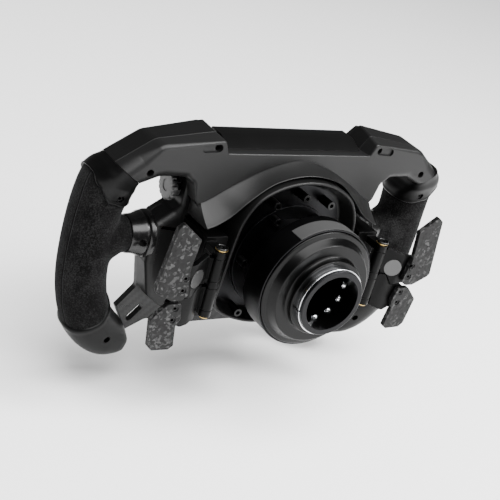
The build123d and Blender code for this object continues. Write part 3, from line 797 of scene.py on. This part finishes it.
def sunk(bm: bmesh.types.BMesh, wells: tuple[Well, ...], start: float = 60.0) -> bmesh.types.BMesh:
    """Cut wells into a mesh.

    Args:
        bm: The mesh, which is used up.
        wells: The wells.
        start: Depth behind which nothing lies.

    Returns:
        The cut mesh.
    """
    tools = bmesh.new()
    for well in wells:
        well.cut(tools, start)
    tool = loose_object(tools, "tool")
    blank = loose_object(bm, "blank")
    cut = blank.modifiers.new("wells", "BOOLEAN")
    cut.operation = "DIFFERENCE"
    cut.solver = "EXACT"
    cut.use_self = True
    cut.object = tool
    done = settled(blank)
    bpy.data.objects.remove(tool)
    bmesh.ops.remove_doubles(done, verts=done.verts, dist=0.002 * MM)
    return done


@dataclass
class Kit:
    """What every sub-assembly needs to finish its pieces."""

    workshop: Workshop

    def finish(
        self,
        bm: bmesh.types.BMesh,
        name: str,
        finish: str,
        body: str,
        replaced: tuple[str, ...] = (),
        sharp: float = 40.0,
        wells: tuple[Well, ...] = (),
    ) -> bpy.types.Object:
        """Turn a mesh into a piece that rides on a body.

        Args:
            bm: The mesh, which is used up.
            name: The piece's name.
            finish: Key of its finish.
            body: The CAD body that it rides on.
            replaced: CAD nodes that it stands for.
            sharp: Edges steeper than this, in degrees, stay sharp in the shading.
            wells: Pockets that are sunk into it.

        Returns:
            The new piece.
        """
        if wells:
            bm = sunk(bm, wells)
        bmesh.ops.recalc_face_normals(bm, faces=bm.faces)
        for face in bm.faces:
            face.smooth = True
        for edge in bm.edges:
            edge.smooth = edge.calc_face_angle(0.0) < math.radians(sharp)
        mesh = bpy.data.meshes.new(name)
        bm.to_mesh(mesh)
        bm.free()
        piece = bpy.data.objects.new(name, mesh)
        bpy.context.scene.collection.objects.link(piece)
        mesh.materials.append(self.workshop.materials[finish])
        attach(piece, body)
        if replaced:
            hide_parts(*replaced)
        log.info("piece %s: %d faces, %s", name, len(mesh.polygons), finish)
        return piece

    @staticmethod
    def steady_shading(piece: bpy.types.Object) -> None:
        """Keep large flat faces flat in the shading, beside small roundings.

        Args:
            piece: The piece.
        """
        even = piece.modifiers.new("even", "WEIGHTED_NORMAL")
        even.weight = 90
        even.keep_sharp = True


def stack(bm: bmesh.types.BMesh, layers: list[Callable[[int], Vector]], count: int) -> None:
    """Join outlines of the same number of points into one closed body.

    Args:
        bm: The mesh to add to.
        layers: For each outline, a function from the point's number to its place in mm.
        count: Number of points on an outline.
    """

    def place(around: float, along: float) -> Vector:
        """The point at two shares of the stack."""
        return layers[round(along * (len(layers) - 1))](round(around * count) % count)

    skin(bm, place, count, len(layers) - 1)


ARCH = (
    # rear x, rear z, front x, front z, corner radius, rolled edge
    (59.0, 72.5, 56.0, 72.5, 1.0, 1.0),
    (62.6, 81.2, 66.0, 84.0, 2.5, 1.4),
    (106.5, 77.2, 108.8, 76.4, 14.0, 3.5),
    (120.8, 67.8, 124.3, 66.0, 14.0, 8.0),
    (130.9, 59.6, 133.5, 61.3, 0.0, 8.5),
    (115.5, 48.7, 115.5, 48.7, 0.0, 8.5),
    (103.3, 53.8, 103.3, 53.8, 9.0, 7.5),
    (87.0, 54.6, 87.0, 54.6, 9.0, 5.5),
)
SHELL_FOOT = (
    (79.0, 51.5, 79.0, 51.5, 6.0, 3.0),
    (74.5, 38.0, 74.5, 38.0, 4.0, 1.2),
    (71.0, 34.5, 71.0, 34.5, 2.0, 0.8),
    (71.0, 24.2, 71.0, 24.2, 0.6, 0.5),
    (49.6, 24.2, 49.6, 24.2, 0.6, 0.5),
    (44.8, 39.5, 44.8, 39.5, 9.0, 0.3),
    (37.2, 49.5, 37.2, 49.5, 9.0, 0.3),
    (25.0, 57.0, 25.0, 57.0, 12.0, 0.3),
    (12.0, 60.6, 12.0, 60.6, 18.0, 0.3),
)
TRAY_FOOT = (
    (76.0, 49.5, 76.0, 49.5, 4.0, 1.5),
    (76.0, 29.0, 76.0, 29.0, 3.0, 3.0),
    (79.5, 24.2, 79.5, 24.2, 5.0, 6.0),
    (88.0, 18.0, 88.0, 18.0, 4.0, 6.0),
    (91.5, 15.5, 91.5, 15.5, 2.0, 5.0),
    (91.5, -15.0, 91.5, -15.0, 4.0, 5.0),
    (85.0, -40.0, 85.0, -40.0, 6.0, 3.0),
    (72.0, -50.0, 72.0, -50.0, 5.0, 2.0),
)
SEAM_CORNERS = (4, 5)


@dataclass
class Body(Kit):
    """The moulded body: rear shell and tray with the shoulders; the hub shroud and swoosh are moulded by
    Shroud.
    """

    shell_rear: float = 72.0
    parting: float = 84.0
    tray_front: float = 100.0
    draft_end: float = 93.0
    joint_gap: float = 0.2

    def rolled(
        self, arch: tuple, foot: tuple, rear: float, front: float, name: str, finish: str, node: str,
        wells: tuple[Well, ...] = (),
    ) -> None:
        """Mould one shell whose rear edge is rolled by a different radius at each corner.

        Args:
            arch: The outline's corners above the openings.
            foot: The outline's corners below the arch.
            rear: Depth of its rear face.
            front: Depth of its front.
            name: The piece's name.
            finish: Key of its finish.
            node: The CAD node that it stands for.
            wells: Pockets that are sunk into it.
        """
        corners = mirrored(arch + foot)
        steps = 7
        backs = rounded([(c[0], c[1], c[4]) for c in corners], steps)
        fronts = rounded([(c[2], c[3], c[4]) for c in corners], steps)
        count = len(backs)
        rolls = [corners[k // (steps + 1)][5] for k in range(count)]
        rolls = [min(roll, 0.75 * (front - rear)) for roll in rolls]

        def base(k: int, depth: float) -> Vector:
            """A point of the outline at a depth, drafted from the rear to the front."""
            share = smooth_step(depth, self.shell_rear + 3, self.draft_end)
            return Vector(backs[k]).lerp(Vector(fronts[k]), share)

        ways = inward(backs)
        total = len(corners)
        for first, second in (SEAM_CORNERS, (total - 1 - SEAM_CORNERS[1], total - 1 - SEAM_CORNERS[0])):
            seam = (Vector(corners[second][:2]) - Vector(corners[first][:2])).normalized()
            for step in range(steps + 1):
                ways[first * (steps + 1) + step] = seam
                ways[second * (steps + 1) + step] = -seam

        def edge(angle: float) -> Callable[[int], Vector]:
            """One outline of the rolled edge, from 0 at the wall to a quarter turn at the rear face."""

            def at(k: int) -> Vector:
                """The outline's point, by number."""
                depth = rear + rolls[k] * (1 - math.sin(angle))
                spot = base(k, depth) + ways[k] * rolls[k] * (1 - math.cos(angle))
                return Vector((spot.x, -depth, spot.y))

            return at

        def wall(depth: float) -> Callable[[int], Vector]:
            """One outline of the wall below the rolled edge."""

            def at(k: int) -> Vector:
                """The outline's point, by number."""
                spot = base(k, depth)
                return Vector((spot.x, -depth, spot.y))

            return at

        layers = [wall(front), wall(front - 0.12 * (front - rear))]
        layers += [edge(math.radians(90 * k / 9)) for k in range(10)]
        bm = bmesh.new()
        stack(bm, layers, count)
        piece = self.finish(bm, name, finish, "wheel", (node,), wells=wells)
        self.steady_shading(piece)

    def build(self) -> None:
        """Mould every piece of the body."""
        wells = []
        for way in SIDES.values():
            wells.append(Well(67.1 * way, 76.1, 79.0))
            wells.append(Well(113.0 * way, 58.4, 79.0))
            wells.append(Well(72.0 * way, 75.7, 73.5, 2.7, 4.8, -4.0 * way))
        front = self.parting - self.joint_gap
        self.rolled(
            ARCH, SHELL_FOOT, self.shell_rear, front, "body_shell", "shell", "rear_shell", tuple(wells)
        )
        covered = tuple((*corner[:5], 0.3) for corner in ARCH)
        self.rolled(covered, TRAY_FOOT, self.parting, self.tray_front, "body_tray", "black", "front_housing")


GRIP_SECTIONS = [
    # centre x, centre z, direction x, direction z, half width, centre depth, half depth, squareness
    (124.5, 55.0, 0.573, -0.819, 11.0, 88.7, 16.5, 3.4),
    (128.4, 46.4, 0.30, -0.95, 14.2, 93.2, 18.3, 3.0),
    (129.6, 36.0, 0.12, -0.99, 16.3, 96.7, 18.0, 2.4),
    (131.5, 18.0, 0.07, -1.0, 16.5, 98.0, 18.0, 2.15),
    (132.2, -4.0, 0.0, -1.0, 16.5, 98.0, 18.0, 2.1),
    (130.9, -26.0, -0.10, -0.99, 16.6, 98.0, 18.0, 2.1),
    (127.2, -44.0, -0.25, -0.97, 16.8, 97.6, 17.3, 2.15),
    (121.3, -58.5, -0.45, -0.89, 16.6, 98.0, 16.9, 2.3),
    (112.5, -69.3, -0.65, -0.76, 16.2, 98.6, 15.6, 2.6),
    (102.2, -77.0, -0.80, -0.60, 14.4, 99.4, 13.6, 3.0),
    (93.0, -82.2, -0.90, -0.44, 9.8, 100.4, 10.8, 3.2),
    (87.0, -85.2, -0.95, -0.30, 5.8, 101.4, 8.0, 3.4),
]
# each hem: degrees round the grip, and the section that it reaches
UPPER_HEM = [
    (0.0, 1.0), (45.0, 1.45), (85.0, 2.2), (120.0, 2.34),
    (200.0, 2.25), (280.0, 1.9), (330.0, 1.1), (360.0, 1.0),
]
LOWER_HEM = [
    (0.0, 6.75), (50.0, 6.9), (95.0, 6.95), (140.0, 6.6),
    (180.0, 6.1), (230.0, 6.3), (290.0, 6.7), (360.0, 6.75),
]
# each cap's screw: x, z and the depth of its well's floor
UPPER_SCREW = (126.1, 37.6, 80.5)
LOWER_SCREW = (108.6, -71.9, 88.5)
# each cap: share of its length, and its height over the suede in mm
UPPER_LIFTS = [
    (0.0, -0.8), (0.02, 0.0), (0.2, 0.0), (0.5, 0.7), (0.9, 0.9), (0.955, 1.4), (0.985, 0.9), (1.0, -0.8),
]
LOWER_LIFTS = [(0.0, -0.8), (0.012, 0.9), (0.03, 1.2), (0.09, 0.8), (0.96, 0.2), (0.99, -0.8), (1.0, -2.5)]


def read(table: list[tuple[float, float]], place: float) -> float:
    """Read a table of pairs, smoothly between its rows.

    Args:
        table: Pairs of place and value, in order of place.
        place: Where to read.

    Returns:
        The value there.
    """
    for (low, first), (high, second) in zip(table, table[1:]):
        if place <= high:
            return first + (second - first) * smooth_step(place, low, high)
    return table[-1][1]


@dataclass
class Grip(Kit):
    """One side's grip: suede over foam with its branch, and a moulded cap at each end."""

    side: str = "right"
    branch_z: float = 2.0
    branch_depth: float = 98.0

    def point(self, angle: float, place: float, lift: float = 0.0) -> Vector:
        """A point of the grip's surface.

        Args:
            angle: Degrees round the grip: 0 outwards, 90 rearwards.
            place: Which section, counted from the upper end.
            lift: Height over the surface.

        Returns:
            The point in mm.
        """
        x, z, ahead_x, ahead_z, wide, depth, deep, square = through(GRIP_SECTIONS, place)
        length = math.hypot(ahead_x, ahead_z)
        out = Vector((-ahead_z / length, 0.0, ahead_x / length))
        turn = math.radians(angle)
        c, s = math.cos(turn), math.sin(turn)
        across = math.copysign(abs(c) ** (2 / square), c) * (wide + lift)
        rear = math.copysign(abs(s) ** (2 / square), s) * (deep + lift)
        spot = Vector((x, -depth, z)) + out * across + Vector((0.0, rear, 0.0))
        return Vector((spot.x * SIDES[self.side], spot.y, spot.z))

    def cap(
        self, name: str, node: str, start: Callable[[float], float], end: Callable[[float], float],
        lifts: list[tuple[float, float]], rows: int, screw: tuple[float, float, float],
    ) -> bpy.types.Object:
        """Mould one end cap.

        Args:
            name: The piece's name.
            node: The CAD node that it stands for.
            start: Section where it starts, by angle.
            end: Section where it ends, by angle.
            lifts: Its height over the suede, from start to end.
            rows: Number of faces along it.
            screw: Its screw's x and z, and the depth of the screw's well.

        Returns:
            The cap.
        """

        def place(around: float, along: float) -> Vector:
            """The cap's point at two shares: round the grip and from start to end."""
            angle = 360 * around
            first, last = start(angle), end(angle)
            return self.point(angle, first + (last - first) * along, read(lifts, along))

        bm = bmesh.new()
        skin(bm, place, 96, rows)
        bmesh.ops.poke(bm, faces=[face for face in bm.faces if len(face.verts) > 4])
        well = Well(screw[0] * SIDES[self.side], *screw[1:])
        return self.finish(bm, name, "cap", "wheel", (node,), sharp=60.0, wells=(well,))

    def suede(self) -> None:
        """Stretch the suede over the grip and its branch as one smooth skin."""
        bm = bmesh.new()
        skin(bm, lambda u, v: self.point(360 * u, 0.85 + 6.55 * v), 72, 90)
        flare = [(103.5, 12.3), (107.0, 12.4), (110.5, 13.2), (114.0, 15.2), (118.0, 18.2), (122.0, 18.4)]

        def branch(u: float, v: float) -> Vector:
            """The branch's point at two shares: round it and outwards along it."""
            x, radius = through(flare, v * (len(flare) - 1))
            turn = 2 * math.pi * u
            deep = min(radius, 15.6)
            rear = deep * math.sin(turn)
            rise = radius * math.cos(turn)
            return Vector((x * SIDES[self.side], rear - self.branch_depth, self.branch_z + rise))

        skin(bm, branch, 64, 20)
        holder = loose_object(bm, "rough")
        voxels = holder.modifiers.new("voxels", "REMESH")
        voxels.mode = "VOXEL"
        voxels.voxel_size = 1.1 * MM
        bm = settled(holder)
        for _ in range(22):
            bmesh.ops.smooth_vert(
                bm, verts=bm.verts, factor=0.5, use_axis_x=True, use_axis_y=True, use_axis_z=True
            )
        x, z, floor = UPPER_SCREW
        bm = sunk(bm, (Well(x * SIDES[self.side], z, floor, 2.8),))
        seam = bm.verts.layers.float.new("seam_mm")
        centres = [(z, x) for x, z, *_ in reversed(GRIP_SECTIONS)]
        for vert in bm.verts:
            middle = read(centres, vert.co.z / MM)
            across = vert.co.x * SIDES[self.side] / MM - middle
            turn = math.atan2(vert.co.y / MM + self.branch_depth, across)
            vert[seam] = (turn - math.radians(20)) * 17.3
        replaced = (f"grip_wrap_{self.side}",)
        piece = self.finish(bm, f"suede_wrap_{self.side}", "suede", "wheel", replaced, sharp=180.0)

    def collar(self) -> None:
        """Turn the flared collar that joins the branch to the body."""
        profile = [
            (106.0, 11.0), (106.0, 12.6), (105.4, 13.1), (102.0, 13.3), (99.0, 14.0), (97.0, 14.9),
            (95.6, 15.5), (95.0, 15.2), (94.7, 14.5), (94.1, 14.5), (93.8, 15.3), (93.0, 16.0), (91.6, 16.4),
            (90.0, 16.4), (90.0, 6.0),
        ]
        last = len(profile) - 1

        def place(u: float, v: float) -> Vector:
            """The point at two shares: round the piece and along it."""
            x, radius = profile[round(v * last)]
            turn = 2 * math.pi * u
            return Vector(
                (
                    x * SIDES[self.side],
                    -self.branch_depth + radius * math.sin(turn),
                    self.branch_z + radius * math.cos(turn),
                )
            )

        bm = bmesh.new()
        skin(bm, place, 72, last)
        replaced = ("branch_collars",) if self.side == "right" else ()
        well = Well(98.5 * SIDES[self.side], self.branch_z, 86.5)
        self.finish(bm, f"branch_collar_{self.side}", "gloss", "wheel", replaced, sharp=50.0, wells=(well,))

    def build(self) -> None:
        """Make every piece of this side's grip."""
        self.suede()
        self.cap(
            f"grip_cap_upper_{self.side}", f"upper_cap_{self.side}",
            lambda angle: 0.02, lambda angle: read(UPPER_HEM, angle % 360),
            UPPER_LIFTS, 40, UPPER_SCREW,
        )
        self.cap(
            f"grip_cap_lower_{self.side}", f"lower_cap_{self.side}",
            lambda angle: read(LOWER_HEM, angle % 360), lambda angle: 11.0,
            LOWER_LIFTS, 56, LOWER_SCREW,
        )
        self.collar()


@dataclass
class Shroud(Kit):
    """The hub's shroud with its rounded lip, and the swoosh that rises to it."""

    lip: float = 53.0
    floor: float = 65.0
    foot: float = 84.0
    crest: float = 57.0
    samples: int = 160

    HUB = (
        (0.0, 61.6), (12.0, 60.4), (25.0, 56.6), (37.2, 49.3), (44.6, 39.5), (48.8, 27.0), (50.6, 10.0),
        (52.2, -10.0), (53.6, -25.0), (51.6, -32.0), (46.0, -37.0), (36.0, -41.8), (20.0, -46.2),
        (0.0, -47.6),
    )
    CREST = (
        (0.0, 64.2), (15.0, 62.4), (29.5, 57.2), (44.0, 45.8), (55.0, 35.2), (64.0, 29.2), (71.0, 26.6),
    )
    BASE = (
        (0.0, 68.4), (13.0, 66.4), (33.0, 59.0), (52.0, 48.6), (62.0, 42.0), (68.0, 38.6), (71.0, 37.6),
    )

    def ring(self, inset: float) -> list[tuple[float, float]]:
        """The hub's outline, set in evenly.

        Args:
            inset: How far.

        Returns:
            Its points.
        """
        steps = self.samples // 2
        half = [through(self.HUB, (len(self.HUB) - 1) * k / steps) for k in range(steps + 1)]
        full = half + [(-x, z) for x, z in reversed(half[1:-1])]
        ways = inward(full)
        return [tuple(Vector(p) + w * inset) for p, w in zip(full, ways)]

    def shroud(self) -> None:
        """Mould the shroud as a stack of outlines."""
        profile = [
            (self.foot, 0.0), (self.lip + 1.4, 0.0), (self.lip + 0.7, 0.12), (self.lip + 0.2, 0.5),
            (self.lip, 1.1), (self.lip + 0.15, 1.7), (self.lip + 0.7, 2.3), (self.lip + 1.5, 2.7),
            (self.floor - 1.0, 5.9), (self.floor - 0.2, 6.6), (self.floor, 7.6), (self.foot, 7.6),
        ]
        rings = [self.ring(inset) for _, inset in profile]
        count = len(rings[0])

        def place(u: float, v: float) -> Vector:
            """The point at two shares: round the piece and along it."""
            row = round(v * len(profile)) % len(profile)
            x, z = rings[row][round(u * count) % count]
            return Vector((x, -profile[row][0], z))

        bm = bmesh.new()
        skin(bm, place, count, len(profile), closed=False)
        self.finish(bm, "hub_shroud", "black", "wheel", ("hub_housing",), sharp=50.0)

    def swoosh(self) -> None:
        """Mould the concave band between the shell and the hub."""
        rows = [
            (0.0, -0.6, 73.0), (0.0, 0.0, 72.0), (0.03, 0.0, 71.3), (0.08, -0.2, 70.6), (0.3, -0.9, 67.9),
            (0.55, -1.2, 64.4), (0.8, -0.9, 60.6), (0.93, -0.3, 58.4), (0.98, 0.1, 57.4), (1.0, -0.3, 57.0),
            (1.02, -0.7, 56.9), (1.05, -1.2, 57.3), (1.08, -1.6, 59.0), (1.12, -1.8, 73.0),
            (0.0, -0.6, 73.0),
        ]
        half = 80
        base = [(-x, z) for x, z in reversed(self.BASE[1:])] + list(self.BASE)
        crest = [(-x, z) for x, z in reversed(self.CREST[1:])] + list(self.CREST)

        def place(u: float, v: float) -> Vector:
            """The point at two shares: round the piece and along it."""
            x0, z0 = through(base, u * (len(base) - 1))
            x1, z1 = through(crest, u * (len(crest) - 1))
            share, lift, depth = rows[round(v * (len(rows) - 1))]
            line = Vector((x0, z0)).lerp(Vector((x1, z1)), share)
            return Vector((line.x, -depth, line.y + 0.35 * lift))

        bm = bmesh.new()
        skin(bm, place, 2 * half, len(rows) - 1)
        piece = self.finish(bm, "swoosh_band", "shell", "wheel", ("swoosh_trim",), sharp=60.0)
        self.steady_shading(piece)

    def build(self) -> None:
        """Make the shroud and the swoosh."""
        self.shroud()
        self.swoosh()


@dataclass
class Controls(Kit):
    """Small turned parts: the hinges' pins with their bushings, and the thumb wheels."""

    hinge_x: float = 67.3
    hinge_depth: float = 41.5
    pin_top: float = 19.1
    pin_foot: float = -29.0
    wheel_x: float = 76.0
    wheel_depth: float = 96.7
    wheel_z: float = 38.2
    teeth: int = 16
    lugs: int = 5

    def pins(self) -> None:
        """Turn both hinge pins with their broad heads, and the brass bushings."""
        top, foot = self.pin_top, self.pin_foot
        pin = [
            (foot - 2.0, 2.2), (foot - 1.9, 2.4), (foot - 1.0, 2.4), (foot - 1.0, 1.95), (top + 1.4, 1.95),
            (top + 1.4, 3.7), (top + 1.6, 4.1), (top + 2.5, 4.1), (top + 2.8, 3.8), (top + 2.8, 3.3),
            (top + 2.5, 3.0), (top + 2.5, 1.4), (top + 1.9, 1.2),
        ]
        upper_bush = [
            (top, 2.0), (top, 2.9), (top + 0.9, 2.9), (top + 1.1, 4.3), (top + 1.4, 4.4),
            (top + 1.5, 4.2), (top + 1.5, 2.0),
        ]
        lower_bush = [
            (foot, 2.0), (foot, 3.3), (foot - 0.9, 3.3), (foot - 1.0, 3.0), (foot - 1.0, 2.0),
        ]
        for name, finish, node, profiles in (
            ("hinge_pin_pair", "oxide", "hinge_pins", [pin]),
            ("hinge_bush_set", "brass", "hinge_bushings", [upper_bush, lower_bush]),
        ):
            bm = bmesh.new()
            for way in SIDES.values():
                for profile in profiles:
                    self.turned(bm, way, profile)
            self.finish(bm, name, finish, "wheel", (node,), sharp=30.0)

    def turned(self, bm: bmesh.types.BMesh, way: float, profile: list[tuple[float, float]]) -> None:
        """Turn one part on a hinge's axis.

        Args:
            bm: The mesh to add to.
            way: 1 for the right-hand hinge, -1 for the left-hand one.
            profile: Pairs of height and radius, in order.
        """
        last = len(profile) - 1

        def place(u: float, v: float) -> Vector:
            """The part's point at two shares: round the axis and along the profile."""
            z, radius = profile[round(v * last)]
            turn = 2 * math.pi * u
            x = way * self.hinge_x + radius * math.cos(turn)
            return Vector((x, -self.hinge_depth + radius * math.sin(turn), z))

        skin(bm, place, 48, last)

    def roller(self, side: str) -> None:
        """Turn one thumb wheel: a toothed disc, a ring of lugs and its axle.

        Args:
            side: Which side it is on.
        """
        start = self.wheel_x
        profile = [
            # x, radius, depth of the teeth, depth between the lugs
            (start - 3.5, 2.9, 0.0, 0.0), (start + 0.4, 2.9, 0.0, 0.0), (start + 0.4, 7.4, 0.0, 2.6),
            (start + 0.7, 7.7, 0.0, 2.8), (start + 3.4, 7.7, 0.0, 2.8), (start + 3.6, 5.0, 0.0, 0.4),
            (start + 4.2, 5.0, 0.0, 0.2), (start + 4.2, 9.2, 0.6, 0.0), (start + 4.6, 10.1, 0.9, 0.0),
            (start + 7.2, 10.2, 0.9, 0.0), (start + 7.8, 9.6, 0.7, 0.0), (start + 8.0, 9.0, 0.3, 0.0),
            (start + 8.0, 4.0, 0.0, 0.0), (start + 7.6, 3.6, 0.0, 0.0),
        ]
        last = len(profile) - 1

        def place(u: float, v: float) -> Vector:
            """The point at two shares: round the piece and along it."""
            x, radius, tooth, gap = profile[round(v * last)]
            turn = 2 * math.pi * u
            radius -= tooth * smooth_step(math.cos(self.teeth * turn), 0.1, 0.8)
            radius -= gap * smooth_step(math.cos(self.lugs * turn), -0.05, 0.1)
            return Vector(
                (
                    x * SIDES[side],
                    -self.wheel_depth + radius * math.sin(turn),
                    self.wheel_z + radius * math.cos(turn),
                )
            )

        bm = bmesh.new()
        skin(bm, place, 320, last)
        node = f"thumb_wheel_{side}"
        self.finish(bm, f"thumb_roller_{side}", "roller", node, (node,), sharp=35.0)

    def build(self) -> None:
        """Make every small turned part."""
        self.pins()
        for side in SIDES:
            self.roller(side)


@dataclass
class Studio:
    """Pale floor, soft lights and the camera behind the wheel, to the driver's right."""

    azimuth: float = 141.3
    elevation: float = 24.9
    roll: float = 16.26
    distance: float = 0.665
    lens: float = 80.7
    target: tuple[float, float, float] = (0.0784, 0.0, 0.0434)

    def place_camera(self) -> None:
        """Create the camera and make it the scene's."""
        turn, lift = math.radians(self.azimuth), math.radians(self.elevation)
        ahead = Vector(
            (-math.sin(turn) * math.cos(lift), math.cos(turn) * math.cos(lift), -math.sin(lift))
        )
        side = ahead.cross(Vector((0, 0, 1))).normalized()
        rise = side.cross(ahead)
        tilt = math.radians(self.roll)
        right = math.cos(tilt) * side + math.sin(tilt) * rise
        up = right.cross(ahead)
        data = bpy.data.cameras.new("camera")
        data.lens = self.lens
        data.sensor_width = 36.0
        camera = bpy.data.objects.new("camera", data)
        axes = Matrix((right, up, -ahead)).transposed().to_4x4()
        camera.matrix_world = Matrix.Translation(Vector(self.target) - ahead * self.distance) @ axes
        bpy.context.scene.collection.objects.link(camera)
        bpy.context.scene.camera = camera

    def lay_floor(self) -> None:
        """Make the plain pale floor."""
        low, high = CAD_BOX
        bm = bmesh.new()
        bmesh.ops.create_grid(bm, x_segments=1, y_segments=1, size=12.0)
        bmesh.ops.translate(bm, vec=(0, 0, low.z - 0.02), verts=bm.verts)
        mesh = bpy.data.meshes.new("floor")
        bm.to_mesh(mesh)
        bm.free()
        floor = bpy.data.objects.new("floor", mesh)
        material = bpy.data.materials.new("pale_floor")
        material.use_nodes = True
        shader = material.node_tree.nodes["Principled BSDF"]
        shader.inputs["Base Color"].default_value = linear("f4f4f4")
        shader.inputs["Roughness"].default_value = 0.9
        mesh.materials.append(material)
        bpy.context.scene.collection.objects.link(floor)

    def add_light(
        self, name: str, place: tuple[float, float, float], size: float, watts: float
    ) -> None:
        """Add a soft square light that faces the wheel.

        Args:
            name: The light's name.
            place: Where it stands.
            size: The length of its sides.
            watts: Its power.
        """
        data = bpy.data.lights.new(name, "AREA")
        data.shape = "SQUARE"
        data.size = size
        data.energy = watts
        light = bpy.data.objects.new(name, data)
        light.location = place
        light.rotation_mode = "QUATERNION"
        light.rotation_quaternion = (-Vector(place)).to_track_quat("-Z", "Y")
        bpy.context.scene.collection.objects.link(light)

    def light(self) -> None:
        """Set the world and the studio lights."""
        world = bpy.data.worlds.new("studio")
        bpy.context.scene.world = world
        world.use_nodes = True
        sky = world.node_tree.nodes["Background"]
        sky.inputs["Color"].default_value = linear("ffffff")
        sky.inputs["Strength"].default_value = 0.16
        self.add_light("overhead", (0.0, 1.0, 2.4), 3.0, 300.0)
        self.add_light("key", (-0.8, 1.2, 0.25), 0.8, 12.0)
        self.add_light("rim", (-0.68, 0.5, 0.85), 0.3, 22.0)

    def build(self) -> None:
        """Build the whole studio."""
        self.place_camera()
        self.lay_floor()
        self.light()


def main() -> None:
    """Build the wheel's looks in order and report each piece."""
    logging.basicConfig(level=logging.INFO, format="%(message)s")
    Studio().build()
    workshop = Workshop()
    for name in sorted(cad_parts):
        workshop.dress_node(name)
    Body(workshop).build()
    Shroud(workshop).build()
    for side in SIDES:
        Grip(workshop, side).build()
    Controls(workshop).build()


if __name__ == "__main__":
    main()
